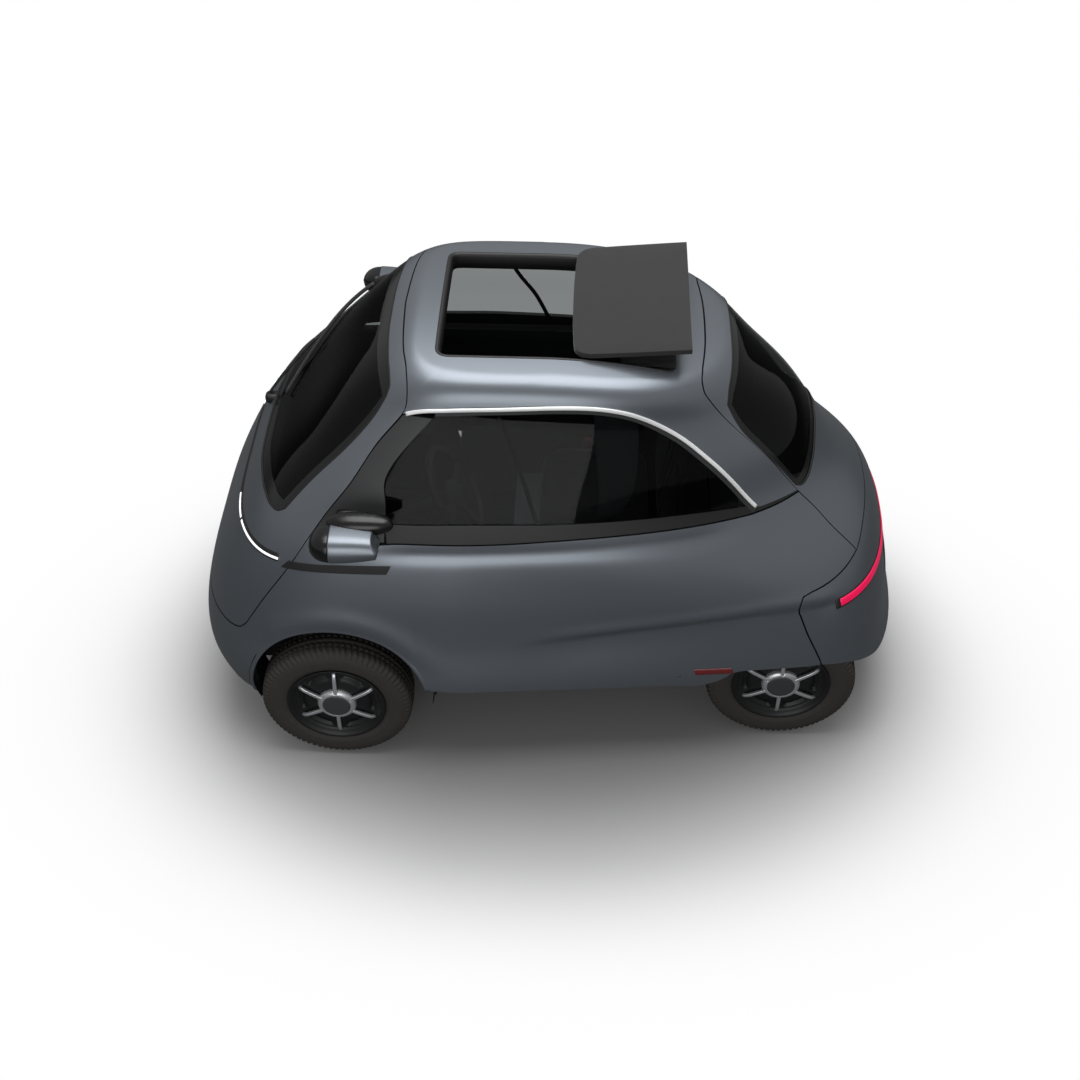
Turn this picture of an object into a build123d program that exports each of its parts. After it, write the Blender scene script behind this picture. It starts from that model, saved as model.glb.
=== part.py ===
from build123d import *
from math import cos, radians, sin, sqrt
import os

# Microcar: an egg-shaped two-seater with one front door, a tailgate and a folding roof.
# Millimetres. +X is the car's left, +Y its tail, +Z up, and z = 0 is the ground.

os.makedirs("parts", exist_ok=True)

# ---- walls and gaps
WALL = 42           # body and door, outer skin to inner lining
GLASS = 6           # window thickness
SHUT_GAP = 6        # between body and door or tailgate
SEAM = 2            # between fixed panels
FAR = 1700          # past the body in any direction

# ---- running gear
FRONT_AXLE_Y = -735
REAR_AXLE_Y = 835
TYRE_R = 266.5
TYRE_WIDTH = 145
TYRE_BEAD_INSET = 14
TYRE_SHOULDER_INSET = 18
TYRE_SHOULDER_DROP = 5
TYRE_BULGE_RISE = 44    # widest place above the bead
BEAD_R = 170        # where tyre and rim meet
FRONT_TYRE_X = 650  # middle of the front tyre
REAR_TYRE_X = 500   # middle of the rear tyre
STUB_R = 15
BORE_CLEARANCE = 0.05

# ---- body shape: one row for each height
#  z, nose y, tail y, half width, widest y, tail power, tail corner power, tail taper
BODY_LEVELS = (
    (200, -1205, 1225, 640, -265, 16.0, 2.1, 0.20),
    (290, -1240, 1245, 705, -285, 16.0, 2.1, 0.20),
    (370, -1253, 1256.5, 732, -295, 16.0, 2.1, 0.20),
    (550, -1224, 1215, 708, -315, 12.0, 2.2, 0.18),
    (750, -1136, 1150, 681, -315, 6.0, 2.2, 0.14),
    (950, -1013, 990, 634, -285, 3.4, 2.1, 0.07),
    (1150, -840, 855, 556, -200, 2.9, 2.2, 0.03),
    (1350, -663, 667, 458, -105, 3.1, 2.3, 0.0),
    (1520, -480, 610, 440, -25, 3.2, 2.4, 0.0),
)
NOSE_POWER = 4.6
NOSE_CORNER_POWER = 3.6
SHOULDER_SHARE = 0.93   # x as a share of the half width where side and corner arcs meet
CORNER_SHARE = 0.55     # and where corner and end arcs meet
ROOF_TOP = 1500
ROOF_PEAK_Y = -220
ROOF_R_ALONG = 3850
ROOF_R_ACROSS = 3500
ROOF_REACH_DEG = 33     # how far the roof's arc is swept each way

# ---- shut lines, as seen from the side (y, z) or from behind (x, z)
HEADER_HALF = 440       # half width of the header over the door
HEADER_Y = -447         # header line at its ends
HEADER_BOW = 42         # how far it bows forward in the middle
PILLAR_KNEE = (-770, 975)
PILLAR_TOP = (-278, 1600)
DOOR_FOOT = (-1056, 535)
DOOR_FOOT_R = 55
BELT_LINE = ((-950, 948), (300, 1005), (1100, 978))
SILL_LINE = ((-1400, 262), (-1000, 288), (-420, 285), (545, 342), (640, 400), (970, 403), (1400, 376))
BUMPER_EDGE = ((864, 1000), (864, 645), (985, 330), (985, 100))
BUMPER_TOP_Z = 798
BUMPER_TOP_R = 1250
HATCH_TOP_Y = 490
HATCH_SIDE = ((318, 1600), (342, 990), (362, 560))
NOSE_PANEL_HALF = 480
NOSE_PANEL_REAR_Y = -900

# ---- windows
WINDOW_INNER_X = 150    # side windows are cut outwards from here
WINDOW_HEAD_FRONT = (-950, 1322)
WINDOW_HEAD_REAR = (60, 1400)
WINDOW_ARCH_MID = (416, 1262)
WINDOW_ARCH_END = (652, 1036)
WINDOW_SILL_Z = 1038
PANE_FRONT = ((-372, 1420), (-372, 1352), (-505, 1200), (-528, WINDOW_SILL_Z))
STRIP_WIDTH = 11        # bright strip over the side windows
SCREEN_SIDE = ((380, 1600), (392, 1400), (452, 1232), (480, 1100), (503, 992), (470, 968))
SCREEN_FOOT = (0, 952)
SCREEN_HEAD_DROP = 45   # windscreen's top edge ahead of the header line
REAR_GLASS = ((300, 1014), (288, 1325))
REAR_GLASS_FOOT_Z = 1056
REAR_GLASS_HEAD_Z = 1405

# ---- sunroof and its folded canopy
ROOF_CUT_Z = 1200       # roof pieces are cut upwards from here
ROOF_CUT_HEIGHT = 500
SUNROOF_HALF = 300
SUNROOF_Y = (-362, 395)
SUNROOF_CORNER_R = 45
SUNROOF_RIM = 28
CANOPY_HALF = 305
CANOPY_Y = (62, 448)
CANOPY_TOP_Z = (1512, 1546)
CANOPY_THICKNESS = 22
CANOPY_BOW = 26         # front edge's bow, and the radius that rounds its corners
CANOPY_CORNER_R = 40
FOLD_HALF = 288
FOLD_PROFILE = ((215, 1430), (440, 1410), (440, 1530), (215, 1510))

# ---- lamps and trim on the skin
TRIM_INNER_X = 300      # trims and reflectors are cut outwards from here
LIGHT_BAR_Z = (844, 860)
FENDER_TRIM = ((-958, 834), (-890, 841), (-520, 873), (-500, 900), (-890, 872), (-958, 866))
TAIL_LAMP_Z = 612
TAIL_LAMP_R = 2450
TAIL_LAMP_HEIGHT = 28
TAIL_LAMP_HALF = 475
REFLECTOR = ((492, 455), (492, 475), (637, 475), (637, 455))

# ---- what others fasten to: plate holder at the tail, towing eye socket in the nose
PLATE_SIZE = (300, 60, 120)
PLATE_CENTRE = (0, 1213, 500)
PLATE_CORNER_R = 10
PLATE_HOLE_SPACING = 240
PLATE_HOLE_R = 3.5
PLATE_HOLE_DEPTH = 140      # from the plate's face right through the bumper
TOW_SOCKET = (-300, 400)    # x, z
TOW_SOCKET_R = 9
TOW_SOCKET_FACE_Y = -1300   # ahead of the bumper's skin
TOW_SOCKET_DEPTH = 200
JACK_PADS_X = 360           # pads under the floor, each side
JACK_PADS_Y = 100
JACK_PAD = (90, 60, 8)

# ---- arches and wells
ARCH_CENTRE = (-720, 295)
ARCH_R = 325
WELL_INNER_X = 380      # arches and wells are cut outwards from here
HOUSING_R = 334
HOUSING_WALL = 7
FRONT_HOUSING_X = (432, 655)
REAR_HOUSING_X = (400, 572)
REAR_WELL_R = 284
REAR_WELL_X = 581
REAR_WELL_CHAMFER = 34

# ---- floor
FLOOR_Z = 235
FLOOR_PLATE = 24
REAR_FLOOR_Z = 430
FLOOR_RUN = ((-1170, 330), (-1040, FLOOR_Z), (470, FLOOR_Z), (600, REAR_FLOOR_Z), (1140, REAR_FLOOR_Z))
TUB_WALL = 18
TUB_TOP_Z = 340
TUB_REAR_Y = 470

# ---- cabin
SEAT_HALF = 500
SEAT_PROFILE = ((-75, 405), (-75, 500), (-50, 520), (330, 500), (390, 500), (390, 405))
BACK_HALF = 470
BACK_PROFILE = ((390, 405), (390, 500), (470, 985), (545, 985), (545, 940), (475, 500), (475, 405))
SHELF_Z = 800
SHELF_Y = (560, 960)
SHELF_HALF = 640
SHELF_THICKNESS = 15
STEER_CENTRE = (235, -330, 850)
STEER_LEAN_DEG = 30     # column's rise above level
STEER_R = 172
STEER_RIM_R = 14
STEER_HUB_R = 38
STEER_HUB_DEPTH = 30
STEER_HUB_DROP = 12     # hub's middle behind the rim's plane
STEER_SPOKE = (24, 10)  # width and thickness
STEER_SPOKE_DROP = 8
STEER_SPOKES_DEG = (0, 180, 270)
COLUMN_R = 24
COLUMN_GAP = 30         # from the rim's plane back to the column
COLUMN_LENGTH = 380
COLUMN_FOOT_HALF = 20
COLUMN_FOOT_Y = (-45, 5)    # pedestal's reach before and behind the column's foot
COLUMN_FOOT_RISE = 15

LINING_MARGIN = 25      # door lining stays this far inside the door's edges
LINING_TOP_Z = 935

# ---- power
BATTERY = (-400, 400, -150, 330, FLOOR_Z, 405)
MOTOR = (-150, 150, 690, 940, 200, REAR_FLOOR_Z - FLOOR_PLATE)

# ---- lamp pods beside the windscreen
POD_CENTRE = (745, -640, 1068)
POD_SIZE = (118, 225, 96)
POD_EDGE = 30
POD_LENS_DEPTH = 60
POD_ARM = (500, 700, -665, -575, 1030, 1075)

# ---- suspension (left side)
ARM_R = 11
STRUT_R = 22
FRONT_ARM_TIP = (598, FRONT_AXLE_Y, 163)
FRONT_ARMS = (
    ((305, -640, 186), FRONT_ARM_TIP),
    ((305, -830, 186), FRONT_ARM_TIP),
    ((515, -762, 169), (515, -708, 169)),
)
ARM_BRACKET = (280, 330, -850, -620, 172, FLOOR_Z - FLOOR_PLATE)
STRUT_FOOT = (515, FRONT_AXLE_Y, 172)
STRUT_HEAD = (508, FRONT_AXLE_Y, 640)
ABOVE_HOUSING = (400, 600, -800, -670, ARCH_CENTRE[1] + HOUSING_R - HOUSING_WALL, 900)
AXLE_TUBE_R = 32
REAR_HUB_X = 420
REAR_ARMS = (((362, 500, 264), (372, REAR_AXLE_Y, TYRE_R)),)
DAMPER_FOOT = (372, REAR_AXLE_Y + 30, TYRE_R)
DAMPER_HEAD = (372, REAR_AXLE_Y + 30, REAR_FLOOR_Z)
ABOVE_REAR_FLOOR = (300, 450, 420, 950, REAR_FLOOR_Z - FLOOR_PLATE, REAR_FLOOR_Z + 100)
KNUCKLE = (592, 632, FRONT_AXLE_Y - 28, FRONT_AXLE_Y + 28, 180, 366)
KNUCKLE_LUG = (545, 592, FRONT_AXLE_Y - 14, FRONT_AXLE_Y + 14, 300, 330)
STEER_ARM = (588, 612, FRONT_AXLE_Y + 28, FRONT_AXLE_Y + 122, 182, 196)
RACK_Y = FRONT_AXLE_Y + 110
RACK_Z = 179
RACK_HALF = 250
RACK_R = 16
RACK_BRACKET_X = 190
RACK_BRACKET_HALF = 20

# ---- wheel, as (distance outwards from the tyre's middle, radius)
RIM_PROFILE = (
    (-58.5, 161), (-58.5, BEAD_R), (62, BEAD_R), (62, 153), (57, 149), (57, 48), (70, 42), (75, 24), (75, 0),
    (45, 0), (45, STUB_R + BORE_CLEARANCE), (-10, STUB_R + BORE_CLEARANCE), (-10, 38), (47, 44), (47, 146),
    (52, 161),
)
STUB_REACH = 44         # how far the stub goes past the tyre's middle
SPOKES = 6
SPOKE_X = 56
SPOKE_RISE = 9
SPOKE_MID_R = 97
SPOKE_LENGTH = 112
SPOKE_WIDTH = 11


def lerp(first, second, share):
    return first + (second - first) * share


def outline_point(level, inset, end, share):
    """Point of the plan outline where x is a share of the half width, towards the nose or the tail."""
    z, nose, tail, half, widest, tail_power, tail_corner_power, taper = level
    if end == "nose":
        run = (1 - share ** NOSE_CORNER_POWER) ** (1 / NOSE_POWER)
        return ((half - inset) * share, widest - (widest - nose - inset) * run)
    run = (1 - share ** tail_corner_power) ** (1 / tail_power)
    return ((half - inset) * share * (1 - taper * run), widest + (tail - inset - widest) * run)


def side_point(level, inset, end):
    """Point half way along the side arc, between the widest place and the shoulder."""
    z, nose, tail, half, widest, tail_power, tail_corner_power, taper = level
    if end == "nose":
        run = (1 - SHOULDER_SHARE ** NOSE_CORNER_POWER) ** (1 / NOSE_POWER) / 2
        share = (1 - run ** NOSE_POWER) ** (1 / NOSE_CORNER_POWER)
        return ((half - inset) * share, widest - (widest - nose - inset) * run)
    run = (1 - SHOULDER_SHARE ** tail_corner_power) ** (1 / tail_power) / 2
    share = (1 - run ** tail_power) ** (1 / tail_corner_power)
    return ((half - inset) * share * (1 - taper * run), widest + (tail - inset - widest) * run)


def level_arcs(level, inset):
    """The ten arcs of one plan outline, each as start, middle and end points, going round once."""
    corner_mid = lerp(SHOULDER_SHARE, CORNER_SHARE, 0.42)
    quarter = {}
    for end in ("nose", "tail"):
        widest = outline_point(level, inset, end, 1)
        shoulder = outline_point(level, inset, end, SHOULDER_SHARE)
        corner = outline_point(level, inset, end, CORNER_SHARE)
        quarter[end] = (
            (widest, side_point(level, inset, end), shoulder),
            (shoulder, outline_point(level, inset, end, corner_mid), corner),
        )

    def flip(point):
        return (-point[0], point[1])

    def other_way(arc):
        return arc[::-1]

    def across(arc):
        return tuple(flip(point) for point in arc)

    nose_tip = outline_point(level, inset, "nose", 0)
    tail_tip = outline_point(level, inset, "tail", 0)
    nose_corner = quarter["nose"][1][2]
    tail_corner = quarter["tail"][1][2]
    return (
        quarter["tail"][0],
        quarter["tail"][1],
        (tail_corner, tail_tip, flip(tail_corner)),
        other_way(across(quarter["tail"][1])),
        other_way(across(quarter["tail"][0])),
        across(quarter["nose"][0]),
        across(quarter["nose"][1]),
        (flip(nose_corner), nose_tip, nose_corner),
        other_way(quarter["nose"][1]),
        other_way(quarter["nose"][0]),
    )


def crown(inset):
    """Everything under the roof: the roof's cross arc swept along its lengthwise arc."""
    half = 850
    top = ROOF_R_ALONG - inset
    drop = half ** 2 / (2 * ROOF_R_ACROSS)
    hub = (0, ROOF_PEAK_Y, ROOF_TOP - ROOF_R_ALONG)
    rear_end = Plane(origin=hub, x_dir=(1, 0, 0), z_dir=(0, -1, 0)).rotated((-ROOF_REACH_DEG, 0, 0))
    with BuildPart() as dome:
        with BuildSketch(rear_end):
            with BuildLine():
                ThreePointArc((-half, top - drop), (0, top), (half, top - drop))
                Polyline((half, top - drop), (half, top - FAR), (-half, top - FAR), (-half, top - drop))
            make_face()
        revolve(axis=Axis(hub, (1, 0, 0)), revolution_arc=2 * ROOF_REACH_DEG)
    return dome.part


def body_form(inset):
    """The closed body, every skin moved inwards by inset: lofted plan outlines under the crowned roof."""
    with BuildPart() as form:
        for level in BODY_LEVELS:
            with BuildSketch(Plane.XY.offset(level[0])):
                with BuildLine():
                    for start, middle, end in level_arcs(level, inset):
                        ThreePointArc(start, middle, end)
                make_face()
        loft(ruled=True)
        add(crown(inset), mode=Mode.INTERSECT)
    return form.part


def side_prism(points, low_x=-FAR, high_x=FAR, corner_r=0, corner=None, grow=0):
    """Solid between two x planes whose side view is a polygon of (y, z) points, grown if asked."""
    with BuildPart() as prism:
        with BuildSketch(Plane.YZ.offset(low_x)) as side:
            with BuildLine():
                Polyline(*points, close=True)
            make_face()
            if corner_r:
                fillet(side.vertices().sort_by_distance((low_x, *corner))[0], corner_r)
            if grow:
                offset(amount=grow, kind=Kind.INTERSECTION)
        extrude(amount=high_x - low_x)
    return prism.part


def rear_prism(edges, front_y, rear_y=FAR):
    """Solid between two y planes, swept from a closed run of lines and arcs given as (x, z) points."""
    with BuildPart() as prism:
        with BuildSketch(Plane.XZ.offset(-rear_y)):
            with BuildLine():
                for edge in edges:
                    if len(edge) == 3:
                        ThreePointArc(*edge)
                    else:
                        Line(*edge)
            make_face()
        extrude(amount=rear_y - front_y)
    return prism.part


def mirrored(solid):
    """The same piece on the car's right side."""
    return mirror(solid, about=Plane.YZ, mode=Mode.PRIVATE)


def finish(part, label):
    """Name a finished piece and write it out."""
    part.label = label
    export_step(part, f"parts/{label}.step")


def ahead_of_header(step=0):
    """Everything in front of the bowed header line, moved rearwards by step."""
    bow_r = (HEADER_HALF ** 2 + HEADER_BOW ** 2) / (2 * HEADER_BOW)
    centre_y = HEADER_Y + sqrt(bow_r ** 2 - HEADER_HALF ** 2)
    reach = 900
    side_y = centre_y - sqrt((bow_r - step) ** 2 - reach ** 2)
    with BuildPart() as zone:
        with BuildSketch():
            with BuildLine():
                ThreePointArc((-reach, side_y), (0, centre_y - bow_r + step), (reach, side_y))
                Polyline((reach, side_y), (reach, -FAR), (-reach, -FAR), (-reach, side_y))
            make_face()
        extrude(amount=FAR)
    return zone.part


def door_zone(grow=0):
    """The space of the front door: ahead of the pillar line and the header, above the nose panel."""
    outline = (PILLAR_TOP, PILLAR_KNEE, DOOR_FOOT, (-FAR, DOOR_FOOT[1]), (-FAR, PILLAR_TOP[1]))
    with BuildPart() as zone:
        add(side_prism(outline, corner_r=DOOR_FOOT_R, corner=DOOR_FOOT, grow=grow))
        add(ahead_of_header(grow), mode=Mode.INTERSECT)
    return zone.part


def bumper_zone(grow=0):
    """The space of the rear bumper: behind its slanted side edge, under its arched top edge."""
    top = BUMPER_TOP_Z + grow
    bow_r = BUMPER_TOP_R
    end_x = 800
    end_z = top - bow_r + sqrt(bow_r ** 2 - end_x ** 2)
    edges = (
        ((-end_x, end_z), (0, top), (end_x, end_z)),
        ((end_x, end_z), (end_x, 100)),
        ((end_x, 100), (-end_x, 100)),
        ((-end_x, 100), (-end_x, end_z)),
    )
    with BuildPart() as zone:
        add(rear_prism(edges, 700))
        add(side_prism((*BUMPER_EDGE, (FAR, 100), (FAR, 1000)), grow=grow), mode=Mode.INTERSECT)
    return zone.part


def hatch_zone(grow=0):
    """The space of the tailgate: a slightly widening band behind the roof, above the bumper."""
    (top_x, top_z), (mid_x, mid_z), (foot_x, foot_z) = HATCH_SIDE
    edges = (
        ((top_x + grow, top_z), (mid_x + grow, mid_z)),
        ((mid_x + grow, mid_z), (foot_x + grow, foot_z)),
        ((foot_x + grow, foot_z), (-foot_x - grow, foot_z)),
        ((-foot_x - grow, foot_z), (-mid_x - grow, mid_z)),
        ((-mid_x - grow, mid_z), (-top_x - grow, top_z)),
        ((-top_x - grow, top_z), (top_x + grow, top_z)),
    )
    return rear_prism(edges, HATCH_TOP_Y - grow)


def nose_zone(grow=0):
    """The space of the front bumper, between the fenders and under the door."""
    half = NOSE_PANEL_HALF + grow
    height = DOOR_FOOT[1] - SHUT_GAP
    with BuildPart() as zone:
        with BuildSketch():
            with Locations((0, (NOSE_PANEL_REAR_Y - FAR) / 2)):
                Rectangle(2 * half, FAR + NOSE_PANEL_REAR_Y)
        extrude(amount=height)
    return zone.part


def band_zone(middle_z, bow_r, height, half, front_y=700):
    """A level band across the tail, drooping towards its ends."""
    def at(x, z):
        return z - bow_r + sqrt(bow_r ** 2 - x ** 2)
    low, high = middle_z - height / 2, middle_z + height / 2
    edges = (
        ((-half, at(half, low)), (0, low), (half, at(half, low))),
        ((half, at(half, low)), (half, at(half, high))),
        ((half, at(half, high)), (0, high), (-half, at(half, high))),
        ((-half, at(half, high)), (-half, at(half, low))),
    )
    return rear_prism(edges, front_y)


def x_cylinder(centre, radius, low_x, high_x, chamfer_outer=0):
    """A cylinder along x, centred on a (y, z) point."""
    with BuildPart() as drum:
        with BuildSketch(Plane.YZ.offset(low_x)):
            with Locations(centre):
                Circle(radius)
        extrude(amount=high_x - low_x)
        if chamfer_outer:
            chamfer(drum.faces().sort_by(Axis.X)[-1].edges(), chamfer_outer)
    return drum.part


def side_window_zone(margin=0):
    """The side window opening, from the door's edge to the rear pillar, grown by margin over its head."""
    head_front = (WINDOW_HEAD_FRONT[0], WINDOW_HEAD_FRONT[1] + margin)
    head_rear = (WINDOW_HEAD_REAR[0], WINDOW_HEAD_REAR[1] + margin)
    arch_mid = (WINDOW_ARCH_MID[0] + 0.64 * margin, WINDOW_ARCH_MID[1] + 0.77 * margin)
    arch_end = (WINDOW_ARCH_END[0] + margin, WINDOW_ARCH_END[1])
    low_z = 900
    with BuildPart() as zone:
        with BuildSketch(Plane.YZ.offset(WINDOW_INNER_X)):
            with BuildLine():
                Line(head_front, head_rear)
                ThreePointArc(head_rear, arch_mid, arch_end)
                Polyline(arch_end, (arch_end[0], low_z), (head_front[0], low_z), head_front)
            make_face()
        extrude(amount=FAR)
    return zone.part


def screen_zone():
    """The windscreen's outline from the front, up to an edge just ahead of the header."""
    right_side = [(-x, z) for x, z in SCREEN_SIDE]
    chain = [*SCREEN_SIDE, SCREEN_FOOT, *right_side[::-1]]
    edges = [(chain[n], chain[n + 1]) for n in range(len(chain) - 1)]
    edges.append((chain[-1], chain[0]))
    with BuildPart() as zone:
        add(rear_prism(edges, -FAR, -200))
        add(ahead_of_header(-SCREEN_HEAD_DROP), mode=Mode.INTERSECT)
    return zone.part


def rear_glass_zone():
    """The rear window's outline from behind, with bowed head and foot."""
    (foot_x, foot_z), (head_x, head_z) = REAR_GLASS
    edges = (
        ((-foot_x, foot_z), (0, REAR_GLASS_FOOT_Z), (foot_x, foot_z)),
        ((foot_x, foot_z), (head_x, head_z)),
        ((head_x, head_z), (0, REAR_GLASS_HEAD_Z), (-head_x, head_z)),
        ((-head_x, head_z), (-foot_x, foot_z)),
    )
    return rear_prism(edges, HATCH_TOP_Y)


def block(limits):
    """A box from its limits: x from and to, y from and to, z from and to."""
    low_x, high_x, low_y, high_y, low_z, high_z = limits
    with BuildPart() as solid:
        with BuildSketch(Plane.XY.offset(low_z)):
            with Locations(((low_x + high_x) / 2, (low_y + high_y) / 2)):
                Rectangle(high_x - low_x, high_y - low_y)
        extrude(amount=high_z - low_z)
    return solid.part


def rod(start, end, radius):
    """A round bar between two points."""
    start, end = Vector(*start), Vector(*end)
    with BuildPart() as bar:
        with BuildSketch(Plane(origin=start, z_dir=end - start)):
            Circle(radius)
        extrude(amount=(end - start).length)
    return bar.part


# ---- working solids: skins at four depths and the zones that divide them
outer = body_form(0)
glass_back = body_form(GLASS)
inner = body_form(WALL)
tub_inner = body_form(WALL + TUB_WALL)
shell = outer - inner
skin = outer - glass_back

above_belt = side_prism(((-FAR, FAR), (-FAR, BELT_LINE[0][1]), *BELT_LINE, (FAR, BELT_LINE[-1][1]), (FAR, FAR)))
above_sill = side_prism(((-FAR, FAR), (-FAR, SILL_LINE[0][1]), *SILL_LINE, (FAR, SILL_LINE[-1][1]), (FAR, FAR)))
rear_well = x_cylinder((REAR_AXLE_Y, TYRE_R), REAR_WELL_R, WELL_INNER_X, REAR_WELL_X, REAR_WELL_CHAMFER)
front_arch = x_cylinder(ARCH_CENTRE, ARCH_R, WELL_INNER_X, FAR)
left_half = side_prism(((-FAR, 0), (FAR, 0), (FAR, FAR), (-FAR, FAR)), low_x=0)
window_zone = side_window_zone()
pane_zone = side_prism((*PANE_FRONT, (FAR, WINDOW_SILL_Z), (FAR, PANE_FRONT[0][1])), low_x=WINDOW_INNER_X)

# ---- lamps and trim let into the skin
with BuildPart() as reflectors:
    add(skin)
    add(side_prism(REFLECTOR, low_x=TRIM_INNER_X), mode=Mode.INTERSECT)
    mirror(about=Plane.YZ)

with BuildPart() as rear_lamps:
    add(skin)
    add(band_zone(TAIL_LAMP_Z, TAIL_LAMP_R, TAIL_LAMP_HEIGHT, TAIL_LAMP_HALF), mode=Mode.INTERSECT)
    add(reflectors.part)
finish(rear_lamps.part, "rear_lamps")

with BuildPart() as fender_trims:
    add(skin)
    add(side_prism(FENDER_TRIM, low_x=TRIM_INNER_X), mode=Mode.INTERSECT)
    add(door_zone(SHUT_GAP), mode=Mode.SUBTRACT)
    mirror(about=Plane.YZ)
finish(fender_trims.part, "fender_trims")

# ---- body panels
with BuildPart() as left_side_panel:
    add(shell)
    add(left_half, mode=Mode.INTERSECT)
    add(above_sill, mode=Mode.INTERSECT)
    add(above_belt, mode=Mode.SUBTRACT)
    add(door_zone(SHUT_GAP), mode=Mode.SUBTRACT)
    add(hatch_zone(SHUT_GAP), mode=Mode.SUBTRACT)
    add(bumper_zone(SEAM), mode=Mode.SUBTRACT)
    add(nose_zone(SEAM), mode=Mode.SUBTRACT)
    add(front_arch, mode=Mode.SUBTRACT)
    add(rear_well, mode=Mode.SUBTRACT)
    add(rear_lamps.part, mode=Mode.SUBTRACT)
    add(fender_trims.part, mode=Mode.SUBTRACT)
finish(left_side_panel.part, "left_side_panel")

with BuildPart() as right_side_panel:
    add(mirrored(left_side_panel.part))
finish(right_side_panel.part, "right_side_panel")

with BuildPart() as sunroof_hole:
    with BuildSketch(Plane.XY.offset(ROOF_CUT_Z)):
        with Locations((0, sum(SUNROOF_Y) / 2)):
            RectangleRounded(2 * SUNROOF_HALF, SUNROOF_Y[1] - SUNROOF_Y[0], SUNROOF_CORNER_R)
    extrude(amount=ROOF_CUT_HEIGHT)

with BuildPart() as strip_zone:
    add(side_window_zone(STRIP_WIDTH))
    add(side_window_zone(1), mode=Mode.SUBTRACT)
    add(above_belt, mode=Mode.INTERSECT)
    add(door_zone(SHUT_GAP), mode=Mode.SUBTRACT)

with BuildPart() as bright_strips:
    add(skin)
    add(strip_zone.part, mode=Mode.INTERSECT)
    mirror(about=Plane.YZ)
finish(bright_strips.part, "bright_strips")

with BuildPart() as roof_shell:
    add(shell)
    add(above_belt, mode=Mode.INTERSECT)
    add(door_zone(SHUT_GAP), mode=Mode.SUBTRACT)
    add(hatch_zone(SHUT_GAP), mode=Mode.SUBTRACT)
    add(window_zone, mode=Mode.SUBTRACT)
    add(mirrored(window_zone), mode=Mode.SUBTRACT)
    add(sunroof_hole.part, mode=Mode.SUBTRACT)
    add(bright_strips.part, mode=Mode.SUBTRACT)
finish(roof_shell.part, "roof_shell")

with BuildPart() as side_windows:
    add(skin)
    add(window_zone, mode=Mode.INTERSECT)
    add(pane_zone, mode=Mode.INTERSECT)
    mirror(about=Plane.YZ)
finish(side_windows.part, "side_windows")

with BuildPart() as window_trims:
    add(shell)
    add(window_zone, mode=Mode.INTERSECT)
    add(above_belt, mode=Mode.INTERSECT)
    add(pane_zone, mode=Mode.SUBTRACT)
    add(door_zone(SHUT_GAP), mode=Mode.SUBTRACT)
    mirror(about=Plane.YZ)
finish(window_trims.part, "window_trims")

with BuildPart() as sunroof_frame:
    with BuildSketch(Plane.XY.offset(ROOF_CUT_Z)):
        with Locations((0, sum(SUNROOF_Y) / 2)):
            RectangleRounded(2 * SUNROOF_HALF, SUNROOF_Y[1] - SUNROOF_Y[0], SUNROOF_CORNER_R)
        offset(amount=-SUNROOF_RIM, mode=Mode.SUBTRACT)
    extrude(amount=ROOF_CUT_HEIGHT)
    add(outer, mode=Mode.INTERSECT)
    add(tub_inner, mode=Mode.SUBTRACT)
finish(sunroof_frame.part, "sunroof_frame")

# ---- folded canopy: the front panel lies tilted over the bunched fabric
canopy_side = (
    (CANOPY_Y[0], CANOPY_TOP_Z[0]),
    (CANOPY_Y[1], CANOPY_TOP_Z[1]),
    (CANOPY_Y[1], CANOPY_TOP_Z[1] - CANOPY_THICKNESS),
    (CANOPY_Y[0], CANOPY_TOP_Z[0] - CANOPY_THICKNESS),
)
with BuildPart() as canopy_panel:
    with BuildSketch(Plane.XY.offset(ROOF_CUT_Z)) as canopy_plan:
        with BuildLine():
            front_y = CANOPY_Y[0] + CANOPY_BOW
            ThreePointArc((-CANOPY_HALF, front_y), (0, CANOPY_Y[0]), (CANOPY_HALF, front_y))
            Polyline(
                (CANOPY_HALF, front_y),
                (CANOPY_HALF, CANOPY_Y[1]),
                (-CANOPY_HALF, CANOPY_Y[1]),
                (-CANOPY_HALF, front_y),
            )
        make_face()
        fillet(canopy_plan.vertices().group_by(Axis.Y)[0], CANOPY_CORNER_R)
    extrude(amount=ROOF_CUT_HEIGHT)
    add(side_prism(canopy_side), mode=Mode.INTERSECT)
finish(canopy_panel.part, "canopy_panel")

with BuildPart() as canopy_folds:
    add(side_prism(FOLD_PROFILE, -FOLD_HALF, FOLD_HALF))
    add(canopy_panel.part, mode=Mode.SUBTRACT)
    add(outer, mode=Mode.SUBTRACT)
finish(canopy_folds.part, "canopy_folds")

# ---- nose and tail
with BuildPart() as front_bumper:
    add(shell)
    add(nose_zone(), mode=Mode.INTERSECT)
    add(above_sill, mode=Mode.INTERSECT)
    with Locations(Plane(origin=(TOW_SOCKET[0], TOW_SOCKET_FACE_Y, TOW_SOCKET[1]), z_dir=(0, -1, 0))):
        Hole(TOW_SOCKET_R, depth=TOW_SOCKET_DEPTH)
finish(front_bumper.part, "front_bumper")

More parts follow.
